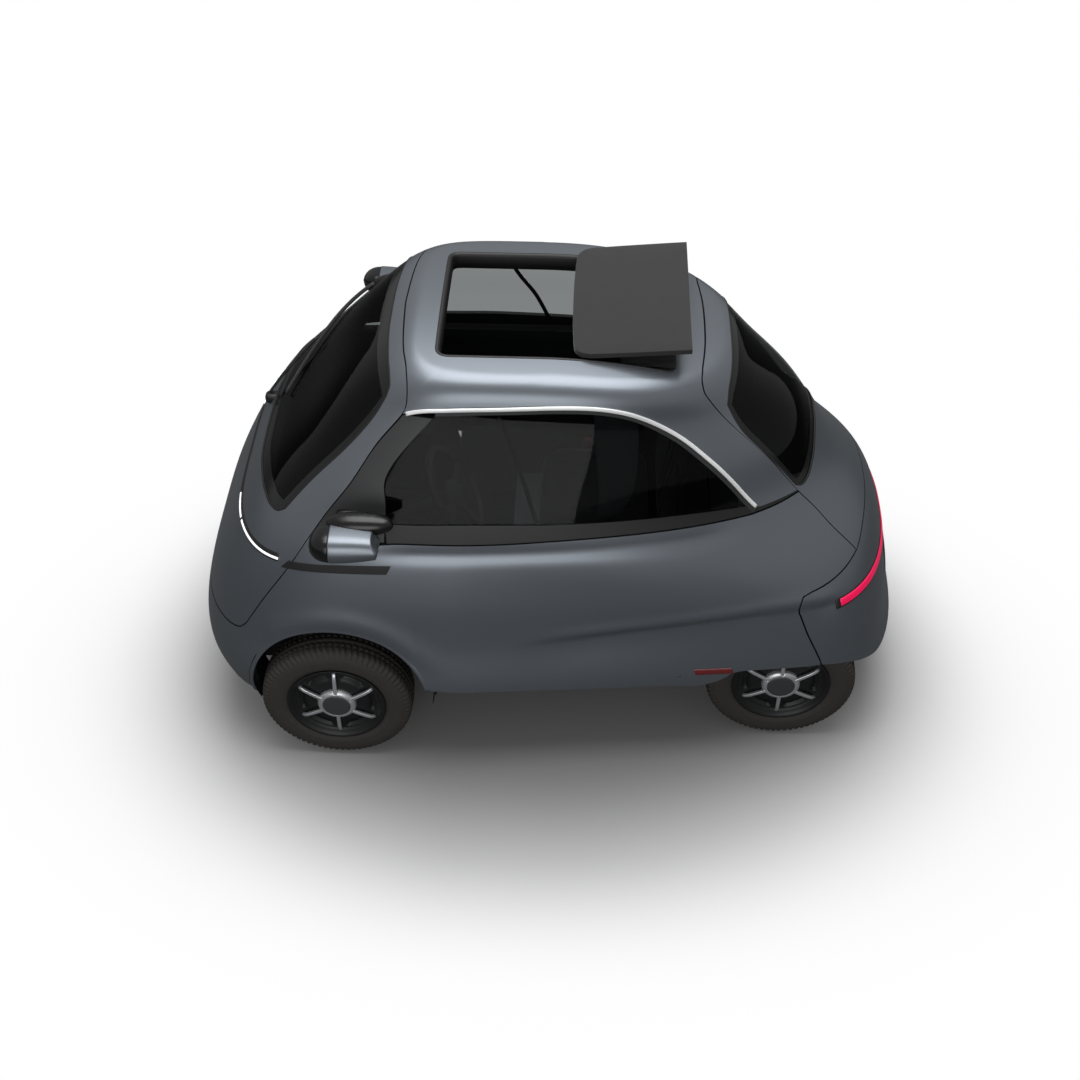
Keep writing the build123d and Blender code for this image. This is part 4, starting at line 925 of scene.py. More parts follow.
def add_wiper():
    """A thin arm from its pivot under the screen, carrying a blade on the screen's far side."""
    wiper = Shape()
    for points, lift, width, height in ((WIPER_BLADE, .010, .010, .014), (WIPER_ARM, .022, .016, .008)):
        path = skin_path(points, 40)
        normals = skin_normals(path)
        wiper.add(carry(path + normals * lift, normals, rounded_bar(width, height, .003)), ring=True,
                  caps=True)
    pivot = onto_skin(np.array(WIPER_ARM[0]))
    cover = box_form((.045, .060, .040), (.6, .6), 20, 32)
    wiper.add(cover + pivot, ring=True, caps=True)
    wiper.build("screen_wiper", [MATERIALS["trim"]], "front_door", "black_trim")


def add_glass(name, grid, body, replaced, rim, depth=.002):
    """A curved pane just below the skin, with a printed dark rim that is rim cells wide."""
    rows, columns = grid.shape[0] - 1, grid.shape[1] - 1
    row, column = np.arange(rows)[:, None], np.arange(columns)[None, :]
    at_rim = (row < rim) | (row >= rows - rim) | (column < rim) | (column >= columns - rim)
    shape = Shape()
    shape.add(sunk(grid, depth), slot=at_rim.astype(int).ravel(), facing=CENTRE)
    pane = shape.build(name, [MATERIALS["glass"], MATERIALS["smoked"]], body, "tinted_glass", [replaced],
                       closed=False)
    give_wall(pane, .005, .001, 0, 0)
    return pane


def add_glass_seal(name, half_path, body):
    """A rubber seal round a pane, from its half outline (from the foot's middle to the head's middle)."""
    loop = np.concatenate((half_path[:-1], flip_x(half_path)[:0:-1]))
    normals = skin_normals(loop)
    tangent = unit(np.roll(loop, -1, axis=0) - np.roll(loop, 1, axis=0))
    side = unit(np.cross(tangent, normals))
    profile = rounded_bar(.007, .005, .002, .001)
    rings = loop[:, None] + profile[None, :, :1] * side[:, None] + profile[None, :, 1:] * normals[:, None]
    shape = Shape()
    shape.add(rings, ring=True, loop=True)
    return shape.build(name, [MATERIALS["rubber"]], body, "black_trim")


def add_tailgate():
    """The tailgate's skin and its window."""
    build_panel("hatch_skin", [hatch_grid()], "tailgate", ["tailgate_shell"], mirror=True)
    add_glass("rear_screen", rear_glass_grid(), "tailgate", "rear_glass", 2, .004)
    add_glass_seal("rear_screen_seal",
                   chain(skin_path(REAR_GLASS_FOOT[::-1], 60), skin_path(REAR_GLASS_SIDE[::-1], 60),
                                             skin_path(REAR_GLASS_HEAD[::-1], 50)), "tailgate")


def add_side_windows(sizes):
    """Sliding panes, their trims and the bright strip over them."""
    panes = Shape()
    front, rear = side_pane_grids()
    panes.add(sunk(front, .006), facing=CENTRE)
    panes.add(sunk(rear, .003), facing=CENTRE)
    panes.mirrored()
    piece = panes.build("side_panes", [MATERIALS["side_glass"]], "car_body", "tinted_glass",
                        ["side_windows"],
                        closed=False)
    give_wall(piece, .004, .001, 0, 0)
    triangle, band, moulding = window_trim_grids()
    trims = Shape()
    trims.add(triangle, facing=CENTRE)
    trims.add(band, facing=CENTRE)
    trims.add(moulding, facing=CENTRE, slot=1)
    trims.mirrored()
    piece = trims.build("window_surrounds", [MATERIALS["trim_grey"], MATERIALS["trim"]], "car_body",
                        "black_trim",
                        ["window_trims"], closed=False)
    give_wall(piece, .012, .0015, 0, 0)
    bars = Shape()
    split = sunk(skin_path(PANE_SPLIT, 30), .017)
    bars.add(carry(split, skin_normals(split), rounded_bar(.014, .008, .002)), ring=True, caps=True)
    bars.mirrored()
    bars.build("pane_dividers", [MATERIALS["trim"]], "car_body", "black_trim")
    strip = Shape()
    path = head_line(180)[2:-1]
    strip.add(carry(path, skin_normals(path), rounded_bar(sizes.strip_width, .008, .003, -.003)), ring=True,
              caps=True)
    strip.mirrored()
    # The strip's near-white colour is a painted reflection of the bright sky.
    strip.build("roof_strips", [MATERIALS["bright"]], "car_body", "bright_metal", ["bright_strips"])


LIGHT_LINE = ((0, -1.10, .838), (.13, -1.095, .838), (.256, -1.084, .840), (.396, -1.05, .846),
              (.469, -1.022, .850),
              (.529, -.985, .852), (.567, -.945, .854), (.597, -.896, .858))
STRIP_LOW = ((.607, -.897, .834), (.634, -.818, .842), (.653, -.682, .852), (.659, -.528, .857))
STRIP_HIGH = ((.607, -.87, .863), (.624, -.817, .868), (.645, -.68, .881), (.651, -.512, .888))
LAMP_LINE = ((0, 1.21, .637), (.137, 1.195, .637), (.293, 1.161, .637), (.383, 1.127, .637),
             (.456, 1.084, .637),
             (.512, 1.03, .637), (.53, 1.008, .637))


def add_lamps():
    """Light bar and its dark band on the door, strips on the fenders, tail lamp and reflectors."""
    line = across_middle(skin_path(LIGHT_LINE, 160))
    normals = skin_normals(line)
    band = Shape()
    band.add(carry(beside(line, -.004), normals, rounded_bar(.030, .006, .002, .001)), ring=True, caps=True)
    band.build("light_band", [MATERIALS["trim"]], "front_door", "black_trim")
    bar = Shape()
    for low_x, high_x in ((.250, .388), (.400, .600)):
        near = (line[:, 0] > low_x) & (line[:, 0] < high_x)
        bar.add(carry(line[near], normals[near], rounded_bar(.008, .008, .002, -.001)), ring=True,
                caps=True)
    bar.mirrored()
    bar.build("front_light_guide", [MATERIALS["white_light"]], "front_door", "light_guide", ["light_bar"])
    strips = Shape()
    strips.add(drawn_in(patch(skin_path(STRIP_LOW, 40), skin_path(STRIP_HIGH, 40), 6), left=.012),
               facing=CENTRE)
    strips.mirrored()
    piece = strips.build("fender_strips", [MATERIALS["trim"]], "car_body", "black_trim", ["fender_trims"],
                         closed=False)
    give_wall(piece, -.003, .001, 0, 0)
    lamp_line = across_middle(skin_path(LAMP_LINE, 70))
    normals = skin_normals(lamp_line)
    lamp = Shape()
    lamp.add(carry(lamp_line, normals, rounded_bar(.040, .010, .003, .003)), ring=True, caps=True, slot=1)
    lamp.add(carry(lamp_line[2:-2], normals[2:-2], rounded_bar(.029, .012, .005, .001)), ring=True,
             caps=True)
    low = skin_path(((.652, .519, .407), (.639, .650, .407)), 12)
    high = skin_path(((.651, .511, .430), (.638, .641, .429)), 12)
    grid = patch(low, high, 5)
    for side in (1, -1):
        block = grid * np.array((side, 1, 1))
        outer = block + skin_normals(block) * .003
        closed = np.concatenate((outer, block[::-1] - skin_normals(block[::-1]) * .004))
        lamp.add(closed, loop=True, slot=2)
    lamp.build("rear_lights", [MATERIALS["red_light"], MATERIALS["trim"], MATERIALS["red_reflector"]],
               "car_body",
               "lamp_red", ["rear_lamps"])


def add_roof_opening():
    """The rim round the sunroof."""
    half = chain(
        roof_path(((0, SUNROOF_FRONT_Y), (SUNROOF_HALF, SUNROOF_FRONT_Y), (SUNROOF_HALF, 0)), 60),
        roof_path(((SUNROOF_HALF, 0), (SUNROOF_HALF, SUNROOF_REAR_Y), (0, SUNROOF_REAR_Y)), 60))
    loop = np.concatenate((half[:-1], flip_x(half)[:0:-1]))
    tangent = unit(np.roll(loop, -1, axis=0) - np.roll(loop, 1, axis=0))
    up = np.broadcast_to(np.array((0, 0, 1.0)), loop.shape)
    inwards = unit(np.cross(tangent, up))
    if (inwards[0] * (np.array((0, 0, 0)) - loop[0])).sum() < 0:
        inwards = -inwards
    profile = np.array(((-.004, -.004), (-.001, .002), (.004, .003), (.008, .001), (.012, -.003),
                        (.014, -.008),
                        (.015, -.030), (.014, -.055), (.010, -.058), (.004, -.058), (-.002, -.050),
                        (-.004, -.030)))
    rings = loop[:, None] + profile[None, :, :1] * inwards[:, None] + profile[None, :, 1:] * up[:, None]
    rim = Shape()
    rim.add(rings, ring=True, loop=True)
    rim.build("sunroof_rim", [MATERIALS["trim"]], "car_body", "black_trim", ["sunroof_frame"])


# ---------------------------------------------------------------- canopy
LID_HALF = .303
LID_FAR = .322          # the lid sits a little towards the car's right
LID_Y = (.064, .446)
LID_Z = (1.511, 1.5455)


def add_canopy(sizes):
    """The stiff front lid of the roof cover, lying tilted over the bunched cloth."""
    rows, columns = 60, 90
    v = np.linspace(0, 1, rows)[:, None]
    u = np.linspace(-1, 1, columns)[None, :]
    # Plan: a rounded rectangle whose front edge bows forward; the height falls off towards every edge.
    front = LID_Y[0] + .012 * np.abs(u) ** 2.4
    corner = .052 * (1 - np.sqrt(1 - (np.maximum(np.abs(u) - .83, 0) / .17) ** 2 * .999))
    y = (front + corner) * (1 - v) + LID_Y[1] * v
    x = u * np.where(u < 0, LID_FAR, LID_HALF) * (1 - .012 * (1 - v) ** 2)
    tilt = LID_Z[0] + (LID_Z[1] - LID_Z[0]) * (y - LID_Y[0]) / (LID_Y[1] - LID_Y[0])
    edge = 1 - np.maximum(np.abs(u) ** 14, np.abs(2 * v - 1) ** 18)
    dome = .006 * (1 - u ** 2) * (1 - (2 * v - 1) ** 2) - .006
    top = np.stack((x, y, tilt + dome - .004 * (1 - edge)), axis=-1)
    under = top - np.array((0, 0, 1.0)) * (sizes.lid_thickness - .004 * (1 - edge))[..., None]
    lid = Shape()
    lid.add(np.concatenate((top, under[::-1])), loop=True)
    for column in (0, -1):
        lid.add(np.stack((top[:, column], under[:, column]), axis=1))
    piece = lid.build("canopy_lid", [MATERIALS["canopy"]], "car_body", "canopy_cloth", ["canopy_panel"])
    round_edges(piece, .004, 3, 50)
    folds = Shape()
    across = np.linspace(-.286, .286, 120)
    s = np.linspace(0, 1, 170)
    # The cloth runs to and fro under the lid in flattened S bends.
    y = .312 + .088 * np.sin(s * 5 * pi)
    z = 1.440 + .070 * s
    path = np.stack((np.zeros_like(s), y, z), axis=-1)
    ripple = np.stack((across, .004 * np.sin(across * 21), .0012 * np.sin(across * 47)), axis=-1)
    folds.add(path[:, None] + ripple[None])
    pleats = folds.build("canopy_pleats", [MATERIALS["canopy"]], "car_body", "canopy_cloth",
                         ["canopy_folds"],
                         closed=False)


# ---------------------------------------------------------------- lamp pods
POD_MIDDLE = np.array((.745, -.640, 1.068))
POD_SIZE = np.array((.116, .225, .094))
MIRROR_MIDDLE = np.array((.679, -.595, 1.100))
MIRROR_SIZE = np.array((.080, .215, .072))


def pod_grid(start, stop, rows, grow=0.0, count=64):
    """The pod between two shares of its length: rings whose outline is a superellipse with a flat outer
    side, full soon after the blunt front and little less at the back, where the top leans forward."""
    share = np.linspace(start, stop, rows)[:, None]
    angle = np.linspace(0, 2 * pi, count, endpoint=False)[None, :]
    front = (1 - np.clip(1 - share / .34, 0, 1) ** 2.6) ** .5
    back = 1 - .26 * np.clip((share - .34) / .66, 0, 1) ** 1.6
    close = (1 - np.clip((share - .965) / .035, 0, 1) ** 2 * .5)
    half = POD_SIZE / 2 + grow
    swell = np.sign(np.cos(angle)) * np.abs(np.cos(angle)) ** .55
    rise = np.sign(np.sin(angle)) * np.abs(np.sin(angle)) ** .70
    x = swell * half[0] * front * back * close - .010 * rise * (rise > 0)
    z = rise * half[2] * front * back * close
    lean = .42 * np.maximum(rise, 0) + .08 * np.maximum(-rise, 0)
    y = POD_SIZE[1] * (share - .5) - lean * half[2] * np.clip((share - .6) / .4, 0, 1) ** 1.5
    return POD_MIDDLE + np.stack((x, y + 0 * x, z), axis=-1)


def mirror_grid(rows=32, columns=56):
    """The mirror's housing: an ellipsoid with fuller shoulders (powers below 1), longest along the car."""
    v = np.linspace(-pi / 2, pi / 2, rows)[:, None]
    u = np.linspace(-pi, pi, columns, endpoint=False)[None, :]
    ring = np.cos(v) ** .8
    x = np.sign(np.cos(u)) * np.abs(np.cos(u)) ** .9 * ring * MIRROR_SIZE[0] / 2
    z = np.sign(np.sin(u)) * np.abs(np.sin(u)) ** .9 * ring * MIRROR_SIZE[2] / 2
    y = np.sin(v) * MIRROR_SIZE[1] / 2 + 0 * u
    return MIRROR_MIDDLE + np.stack((x, y, z), axis=-1)


def add_lamp_pods():
    """Headlamp pods beside the windscreen: painted shell, dark lens in front, mirror and arm behind."""
    shell, lens, arm = Shape(), Shape(), Shape()
    split = .30
    shell.add(pod_grid(split, 1, 44), ring=True, caps=True)
    lens.add(pod_grid(.004, split - .006, 26, -.0015), ring=True, caps=True)
    arm.add(mirror_grid(), ring=True, caps=True)
    s = np.linspace(0, 1, 20)
    root, tip = np.array((.575, -.642, 1.044)), np.array((.722, -.636, 1.054))
    path = root + (tip - root) * s[:, None]
    up = np.broadcast_to(np.array((0, 0, 1.0)), path.shape)
    arm.add(carry(path, up, rounded_bar(.085, .040, .016), 1.1 - .25 * np.sin(s * pi)), ring=True,
            caps=True)
    for piece in (shell, lens, arm):
        piece.mirrored()
    shell.build("pod_shells", [MATERIALS["paint"]], "car_body", "body_paint", ["lamp_pods"])
    lens.build("pod_lenses", [MATERIALS["smoked"]], "car_body", "lamp_clear", ["lamp_lenses"])
    arm.build("pod_arms", [MATERIALS["mirror"]], "car_body", "body_paint", ["mirror_arms"])


# ---------------------------------------------------------------- wheels
AXLES = (
    ("front_left", .650, -.735, 1), ("front_right", .650, -.735, -1),
    ("rear_left", .500, .835, 1), ("rear_right", .500, .835, -1),
)
TYRE_R = .2665
TREAD_BLOCKS = 76          # cross grooves round a tyre
TREAD_TURNS = 7 * TREAD_BLOCKS


def add_wheels(sizes):
    """Tyres with cut tread and wheels with six thin spokes."""
    for name, x, y, side in AXLES:
        centre = np.array((side * x, y, TYRE_R))
        add_tyre(name, centre, side, sizes.tread_depth)
        add_rim(name, centre, side)


def tyre_grid(centre, side, tread_depth, turns=TREAD_TURNS):
    """Tyre surface: the sidewall and crown profile turned about the axle, its radius cut by four ring
    grooves and by cross grooves towards the shoulders."""
    half = ((-.058, .170), (-.066, .180), (-.0715, .205), (-.0715, .222), (-.0675, .240), (-.0615, .254),
            (-.054, .2615), (-.044, .2642), (-.030, .2656), (-.014, .2663), (0, .2665))
    other = [(-x, r) for x, r in half[-2::-1]]
    profile = smooth_path(np.array([(x, 0, r) for x, r in (*half, *other)]), 76)
    across, radius = profile[:, 0], profile[:, 2]
    angle = np.linspace(0, 2 * pi, turns, endpoint=False)[:, None]
    rings = sum(np.exp(-((across - at) / .0026) ** 4) for at in (-.030, -.010, .010, .030))
    phase = angle * TREAD_BLOCKS + np.sign(across) * np.abs(across) * 60
    bars = 1 / (1 + np.exp(-(np.cos(phase) - .35) * 9))
    shoulder = 1 / (1 + np.exp(-(radius - .242) * 900)) * 1 / (1 + np.exp(-(np.abs(across) - .014) * 900))
    radius = radius - tread_depth * np.clip(rings + bars * shoulder, 0, 1)
    rib = .0012 * np.exp(-((profile[:, 2] - .196) / .004) ** 2) * np.sign(across)
    x = np.broadcast_to(centre[0] + side * (across + rib), (turns, len(across)))
    return np.stack((x, centre[1] + radius * np.cos(angle), centre[2] + radius * np.sin(angle)), axis=-1)


def add_tyre(name, centre, side, tread_depth):
    """The tyre with its inner face."""
    grid = tyre_grid(centre, side, tread_depth)
    inner = np.array(((.058, .170), (.058, .166), (-.058, .166), (-.058, .170)))
    shape = Shape()
    shape.add(grid, loop=True)
    shape.add(turned(inner, centre, side, TREAD_TURNS), loop=True)
    shape.build(name + "_tyre_tread", [MATERIALS["tyre"]], name + "_road_wheel", "tyre_rubber",
                [name + "_tyre"])


def add_rim(name, centre, side):
    """Dark pressed disc in a barrel, with arc slots, six flat bright spokes, a scalloped hub and its cap."""
    shape = Shape()
    barrel = np.array(((-.057, .1655), (.061, .1655), (.0655, .172), (.0675, .173), (.067, .168),
                       (.062, .160),
                       (.056, .154), (.050, .150), (.047, .142), (.0475, .136), (.0475, .134),
                       (.0475, .120),
                       (.0478, .118), (.050, .100), (.056, .066), (.058, .045), (.058, .012),
                       (.048, .012), (.046, .045), (.044, .070), (.036, .100), (.034, .128), (.034, .145),
                       (.038, .152), (.038, .158), (-.055, .160)))
    grid = turned(barrel, centre, side, 288)
    angle = np.linspace(0, 2 * pi, 288, endpoint=False)[:, None]
    column = np.arange(len(barrel))[None, :]
    between = 1 / (1 + np.exp((np.cos((angle - pi / 6) * 6) - .3) * 14))
    grid[..., 0] -= side * .010 * between * ((column >= 10) & (column <= 11))
    shape.add(grid, ring=True, loop=True)
    for spoke in range(6):
        turn = 2 * pi * spoke / 6 + pi / 6
        s = np.linspace(0, 1, 18)
        radius = .050 + (.148 - .050) * s
        path = np.stack((centre[0] + side * (.0655 - .006 * s - .010 * s ** 8),
                         centre[1] + radius * cos(turn),
                         centre[2] + radius * sin(turn)), axis=-1)
        up = np.broadcast_to(np.array((side, 0, 0.0)), path.shape)
        shape.add(carry(path, up, rounded_bar(.0145, .013, .0035), 1 - .12 * s), ring=True, caps=True,
                  slot=1)
    hub_angle = np.linspace(0, 2 * pi, 240, endpoint=False)[:, None]
    hub = np.array(((.055, .069), (.0625, .068), (.0665, .066), (.070, .062), (.0725, .056), (.0735, .0515),
                    (.0725, .0495)))
    notch = np.exp(-((np.mod(hub_angle - pi / 6 + pi / 6, pi / 3) - pi / 6) / .07) ** 2)
    scallop = 1 - .10 * notch * np.array((1, 1, 1, .8, .4, .1, 0))[None, :]
    dome = turned(hub, centre, side, 240)
    dome[..., 1:] = centre[1:] + (dome[..., 1:] - centre[1:]) * scallop[..., None]
    shape.add(dome, loop=True, caps=False, slot=1, facing=centre)
    cap = np.array(((.070, .0497), (.0735, .0490), (.0745, .047), (.0752, .040), (.0752, .020),
                    (.0752, .0008)))
    shape.add(turned(cap, centre, side, 96), loop=True, slot=2, facing=centre)
    piece = shape.build(name + "_rim", [MATERIALS["rim"], MATERIALS["silver"], MATERIALS["cap"]],
                        name + "_road_wheel", "wheel_silver", [name + "_wheel"], closed=False)
    return piece


# ---------------------------------------------------------------- cabin
#  name, size, middle, lean backwards in degrees, replaced node
CUSHIONS = (
    ("seat_cushion", (.96, .440, .095), (0, .155, .457), 0, "seat_base"),
    ("seat_backrest", (.90, .085, .500), (0, .462, .745), -9, "seat_back"),
)
CUSHION_CELL = .0105        # the seats' cells before subdivision
AIR_PRESSURE = 4
SWELL_FRAMES = 20
BACK_PANEL = (.225, .150, .175)     # middle x, half width and half height of each raised back panel


def add_cushion(name, size, middle, lean, replaced, cap):
    """A crowned closed pad: a superellipsoid swollen by air pressure, then sewn in along its seams."""
    form = box_form(size, (.34, .30), 40, 96)
    turn = np.array(Matrix.Rotation(radians(lean), 3, "X"))
    shape = Shape()
    shape.add(form @ turn.T + np.array(middle), ring=True, caps=True)
    pad = shape.build(name, [MATERIALS["seat"]], "car_body", "seat_fabric", [replaced])
    remesh = pad.modifiers.new("cells", "REMESH")
    remesh.mode = "VOXEL"
    remesh.voxel_size = CUSHION_CELL
    apply_modifiers(pad)
    swell(pad, cap)
    sew(pad, turn, middle, size)
    pad.modifiers.new("smooth", "SUBSURF").levels = 1
    pad.modifiers["smooth"].render_levels = 1


def apply_modifiers(piece):
    """Replaces a piece's mesh by what its modifiers make of it."""
    finished = bpy.data.meshes.new_from_object(piece.evaluated_get(bpy.context.evaluated_depsgraph_get()))
    piece.modifiers.clear()
    piece.data = finished
    finished.polygons.foreach_set("use_smooth", [True] * len(finished.polygons))


def vertex_array(mesh):
    """A mesh's vertices as an array of points."""
    points = np.empty(len(mesh.vertices) * 3)
    mesh.vertices.foreach_get("co", points)
    return points.reshape(-1, 3)


def swell(pad, cap):
    """Air pressure on the cover as cloth, without gravity; no point moves further than the cap."""
    before = vertex_array(pad.data)
    cover = pad.modifiers.new("cover", "CLOTH")
    cover.settings.use_pressure = True
    cover.settings.uniform_pressure_force = AIR_PRESSURE
    cover.settings.effector_weights.gravity = 0
    cover.settings.quality = 4
    cover.point_cache.frame_start = 1
    cover.point_cache.frame_end = SWELL_FRAMES
    scene = bpy.context.scene
    for frame_number in range(1, SWELL_FRAMES + 1):
        scene.frame_set(frame_number)
    apply_modifiers(pad)
    scene.frame_set(1)
    move = vertex_array(pad.data) - before
    far = np.linalg.norm(move, axis=1, keepdims=True)
    settled = before + move * np.minimum(1, cap / np.maximum(far, 1e-9))
    pad.data.vertices.foreach_set("co", settled.ravel())
    pad.data.update()


def sew(pad, turn, middle, size):
    """Draws the pad in along its seams: between the two seats, and round the raised panel of each."""
    points = vertex_array(pad.data)
    local = (points - np.array(middle)) @ turn
    x = local[:, 0]
    along = local[:, 2] if size[2] > size[1] else local[:, 1]
    seat_x, half_x, half_z = BACK_PANEL
    outline = (np.abs((np.abs(x) - seat_x) / half_x) ** 4 + np.abs(along / half_z) ** 4) ** .25
    depth = .012 * np.exp(-(x / .012) ** 2) + .009 * np.exp(-((outline - 1) * half_x / .007) ** 2)
    across = 1 if size[2] > size[1] else 2     # the pad's thin direction: 1 upright, 2 lying
    face = -np.sign(local[:, across]) * turn[:, across][:, None]
    points += face.T * depth[:, None]
    pad.data.vertices.foreach_set("co", points.ravel())
    pad.data.update()


WHEEL_MIDDLE = np.array((.235, -.330, .850))
WHEEL_AXIS = np.array((0, .8660254, .5))
WHEEL_UP = np.array((0, -.5, .8660254))
WHEEL_R = .172


def add_steering_wheel():
    """A padded rim, three flat spokes and a domed hub, all about the steering axis."""
    sideways = np.array((1.0, 0, 0))
    turn = np.linspace(0, 2 * pi, 120, endpoint=False)[:, None, None]
    radial = np.cos(turn) * sideways + np.sin(turn) * WHEEL_UP
    ring = np.linspace(0, 2 * pi, 20, endpoint=False)[None, :, None]
    rim = WHEEL_MIDDLE + radial * (WHEEL_R + .0135 * np.cos(ring)) + WHEEL_AXIS * .0135 * np.sin(ring)
    wheel = Shape()
    wheel.add(rim, ring=True, loop=True)
    share = np.linspace(0, 1, 24)[:, None]
    for spoke_deg in (0, 180, 270):
        out = cos(radians(spoke_deg)) * sideways + sin(radians(spoke_deg)) * WHEEL_UP
        path = WHEEL_MIDDLE + out * (.03 + (WHEEL_R - .03) * share) - WHEEL_AXIS * .010 * (1 - share ** 2)
        up = np.broadcast_to(WHEEL_AXIS, path.shape)
        wheel.add(carry(path, up, rounded_bar(.034, .012, .005), 1.15 - .4 * share[:, 0]), ring=True,
                  caps=True)
    radius = np.array((.0005, .020, .034, .043, .048, .048, .040, .0005))[None, :, None]
    height = np.array((.012, .011, .008, .002, -.006, -.020, -.026, -.027))[None, :, None]
    hub = WHEEL_MIDDLE + radial * radius * (1 + .25 * np.abs(np.cos(turn)) ** 3) + WHEEL_AXIS * height
    wheel.add(hub, loop=True)
    wheel.build("wheel_and_hub", [MATERIALS["lining"]], "steering", "lining", ["steering_wheel"])


#  lines of the grey pillar trim inside each side window, rear and front edge, from belt to head
PILLAR_TRIM_FRONT = ((.535, .16, .98), (.515, .165, 1.10), (.46, .15, 1.25), (.40, .14, 1.37))
PILLAR_TRIM_REAR = ((.52, .20, .98), (.50, .27, 1.10), (.445, .285, 1.25), (.39, .28, 1.36))
BUCKLE = (.36, .125, .60)


def add_cabin(sizes):
    """Seat pads, steering wheel, pillar trims and belt buckles."""
    for row in CUSHIONS:
        add_cushion(*row, sizes.seat_swell)
    add_steering_wheel()
    trim = Shape()
    front, rear = smooth_path(PILLAR_TRIM_FRONT, 40), smooth_path(PILLAR_TRIM_REAR, 40)
    share = np.linspace(0, 1, 16)[:, None, None]
    sheet = front * (1 - share) + rear * share
    sheet[..., 0] += .012 * np.sin(share[..., 0] * pi)
    trim.add(sheet)
    trim.mirrored()
    piece = trim.build("pillar_trims", [MATERIALS["seat_grey"]], "car_body", "lining", closed=False)
    give_wall(piece, .004, .001, 0, 0)
    buckle = Shape()
    buckle.add(box_form((.024, .030, .050), (.3, .3), 16, 24) + np.array(BUCKLE), ring=True, caps=True)
    buckle.mirrored()
    buckle.build("belt_buckles", [MATERIALS["red_button"]], "car_body", "seat_fabric")


#  underfloor sections from the tail forwards: y, height, half width, side half width, side height
FLOOR_SECTIONS = np.array((
    (1.130, .418, .38, .40, .450), (.600, .418, .38, .40, .450), (.545, .330, .46, .56, .420),
    (.470, .214, .50, .66, .400), (.100, .214, .50, .68, .400), (-.360, .214, .50, .69, .400),
    (-.394, .214, .44, .70, .372), (-.400, .214, .43, .436, .280), (-1.036, .214, .43, .436, .280),
    (-1.050, .214, .43, .62, .300), (-1.165, .310, .43, .50, .360),
))


def add_underfloor():
    """The floor as a shallow tub with slanted sides: sections joined one to the next."""
    y, low, half, side_half, side_z = FLOOR_SECTIONS.T
    left = np.stack((side_half, y, side_z), axis=-1)
    left_low = np.stack((half, y, low), axis=-1)
    middle = np.stack((0 * y, y, low), axis=-1)
    grid = np.stack((left, left_low, middle, flip_x(left_low), flip_x(left)), axis=1)
    tub = Shape()
    tub.add(grid)
    piece = tub.build("underfloor", [MATERIALS["steel"]], "car_body", "floor_steel", ["floor_pan"],
                      closed=False)
    give_wall(piece, -.012, .003, 0, 0)


# ---------------------------------------------------------------- finishes of the CAD pieces that stay
KEPT = {
    "wheel_housings": "rubber", "front_suspension": "steel", "rear_suspension": "steel",
    "steering_rack": "steel", "drive_motor": "battery", "battery_pack": "battery",
    "luggage_shelf": "lining",
    "steering_column": "lining", "door_lining": "lining", "left_knuckle": "steel",
    "right_knuckle": "steel",
}


def finish_kept():
    """Gives every CAD piece that stays its real finish."""
    for name, finish in KEPT.items():
        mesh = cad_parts[name].data
        mesh.materials.clear()
        mesh.materials.append(MATERIALS[finish])


# ---------------------------------------------------------------- stage
CAMERA_AT = (4.393, .113, 4.516)
CAMERA_ANGLES_DEG = (2.064, 43.001, .086)       # yaw, pitch, roll
SENSOR_MM = 36
FLOOR_HALF = 30
AIM_HEIGHT = .6         # the lamps point at this height over the middle


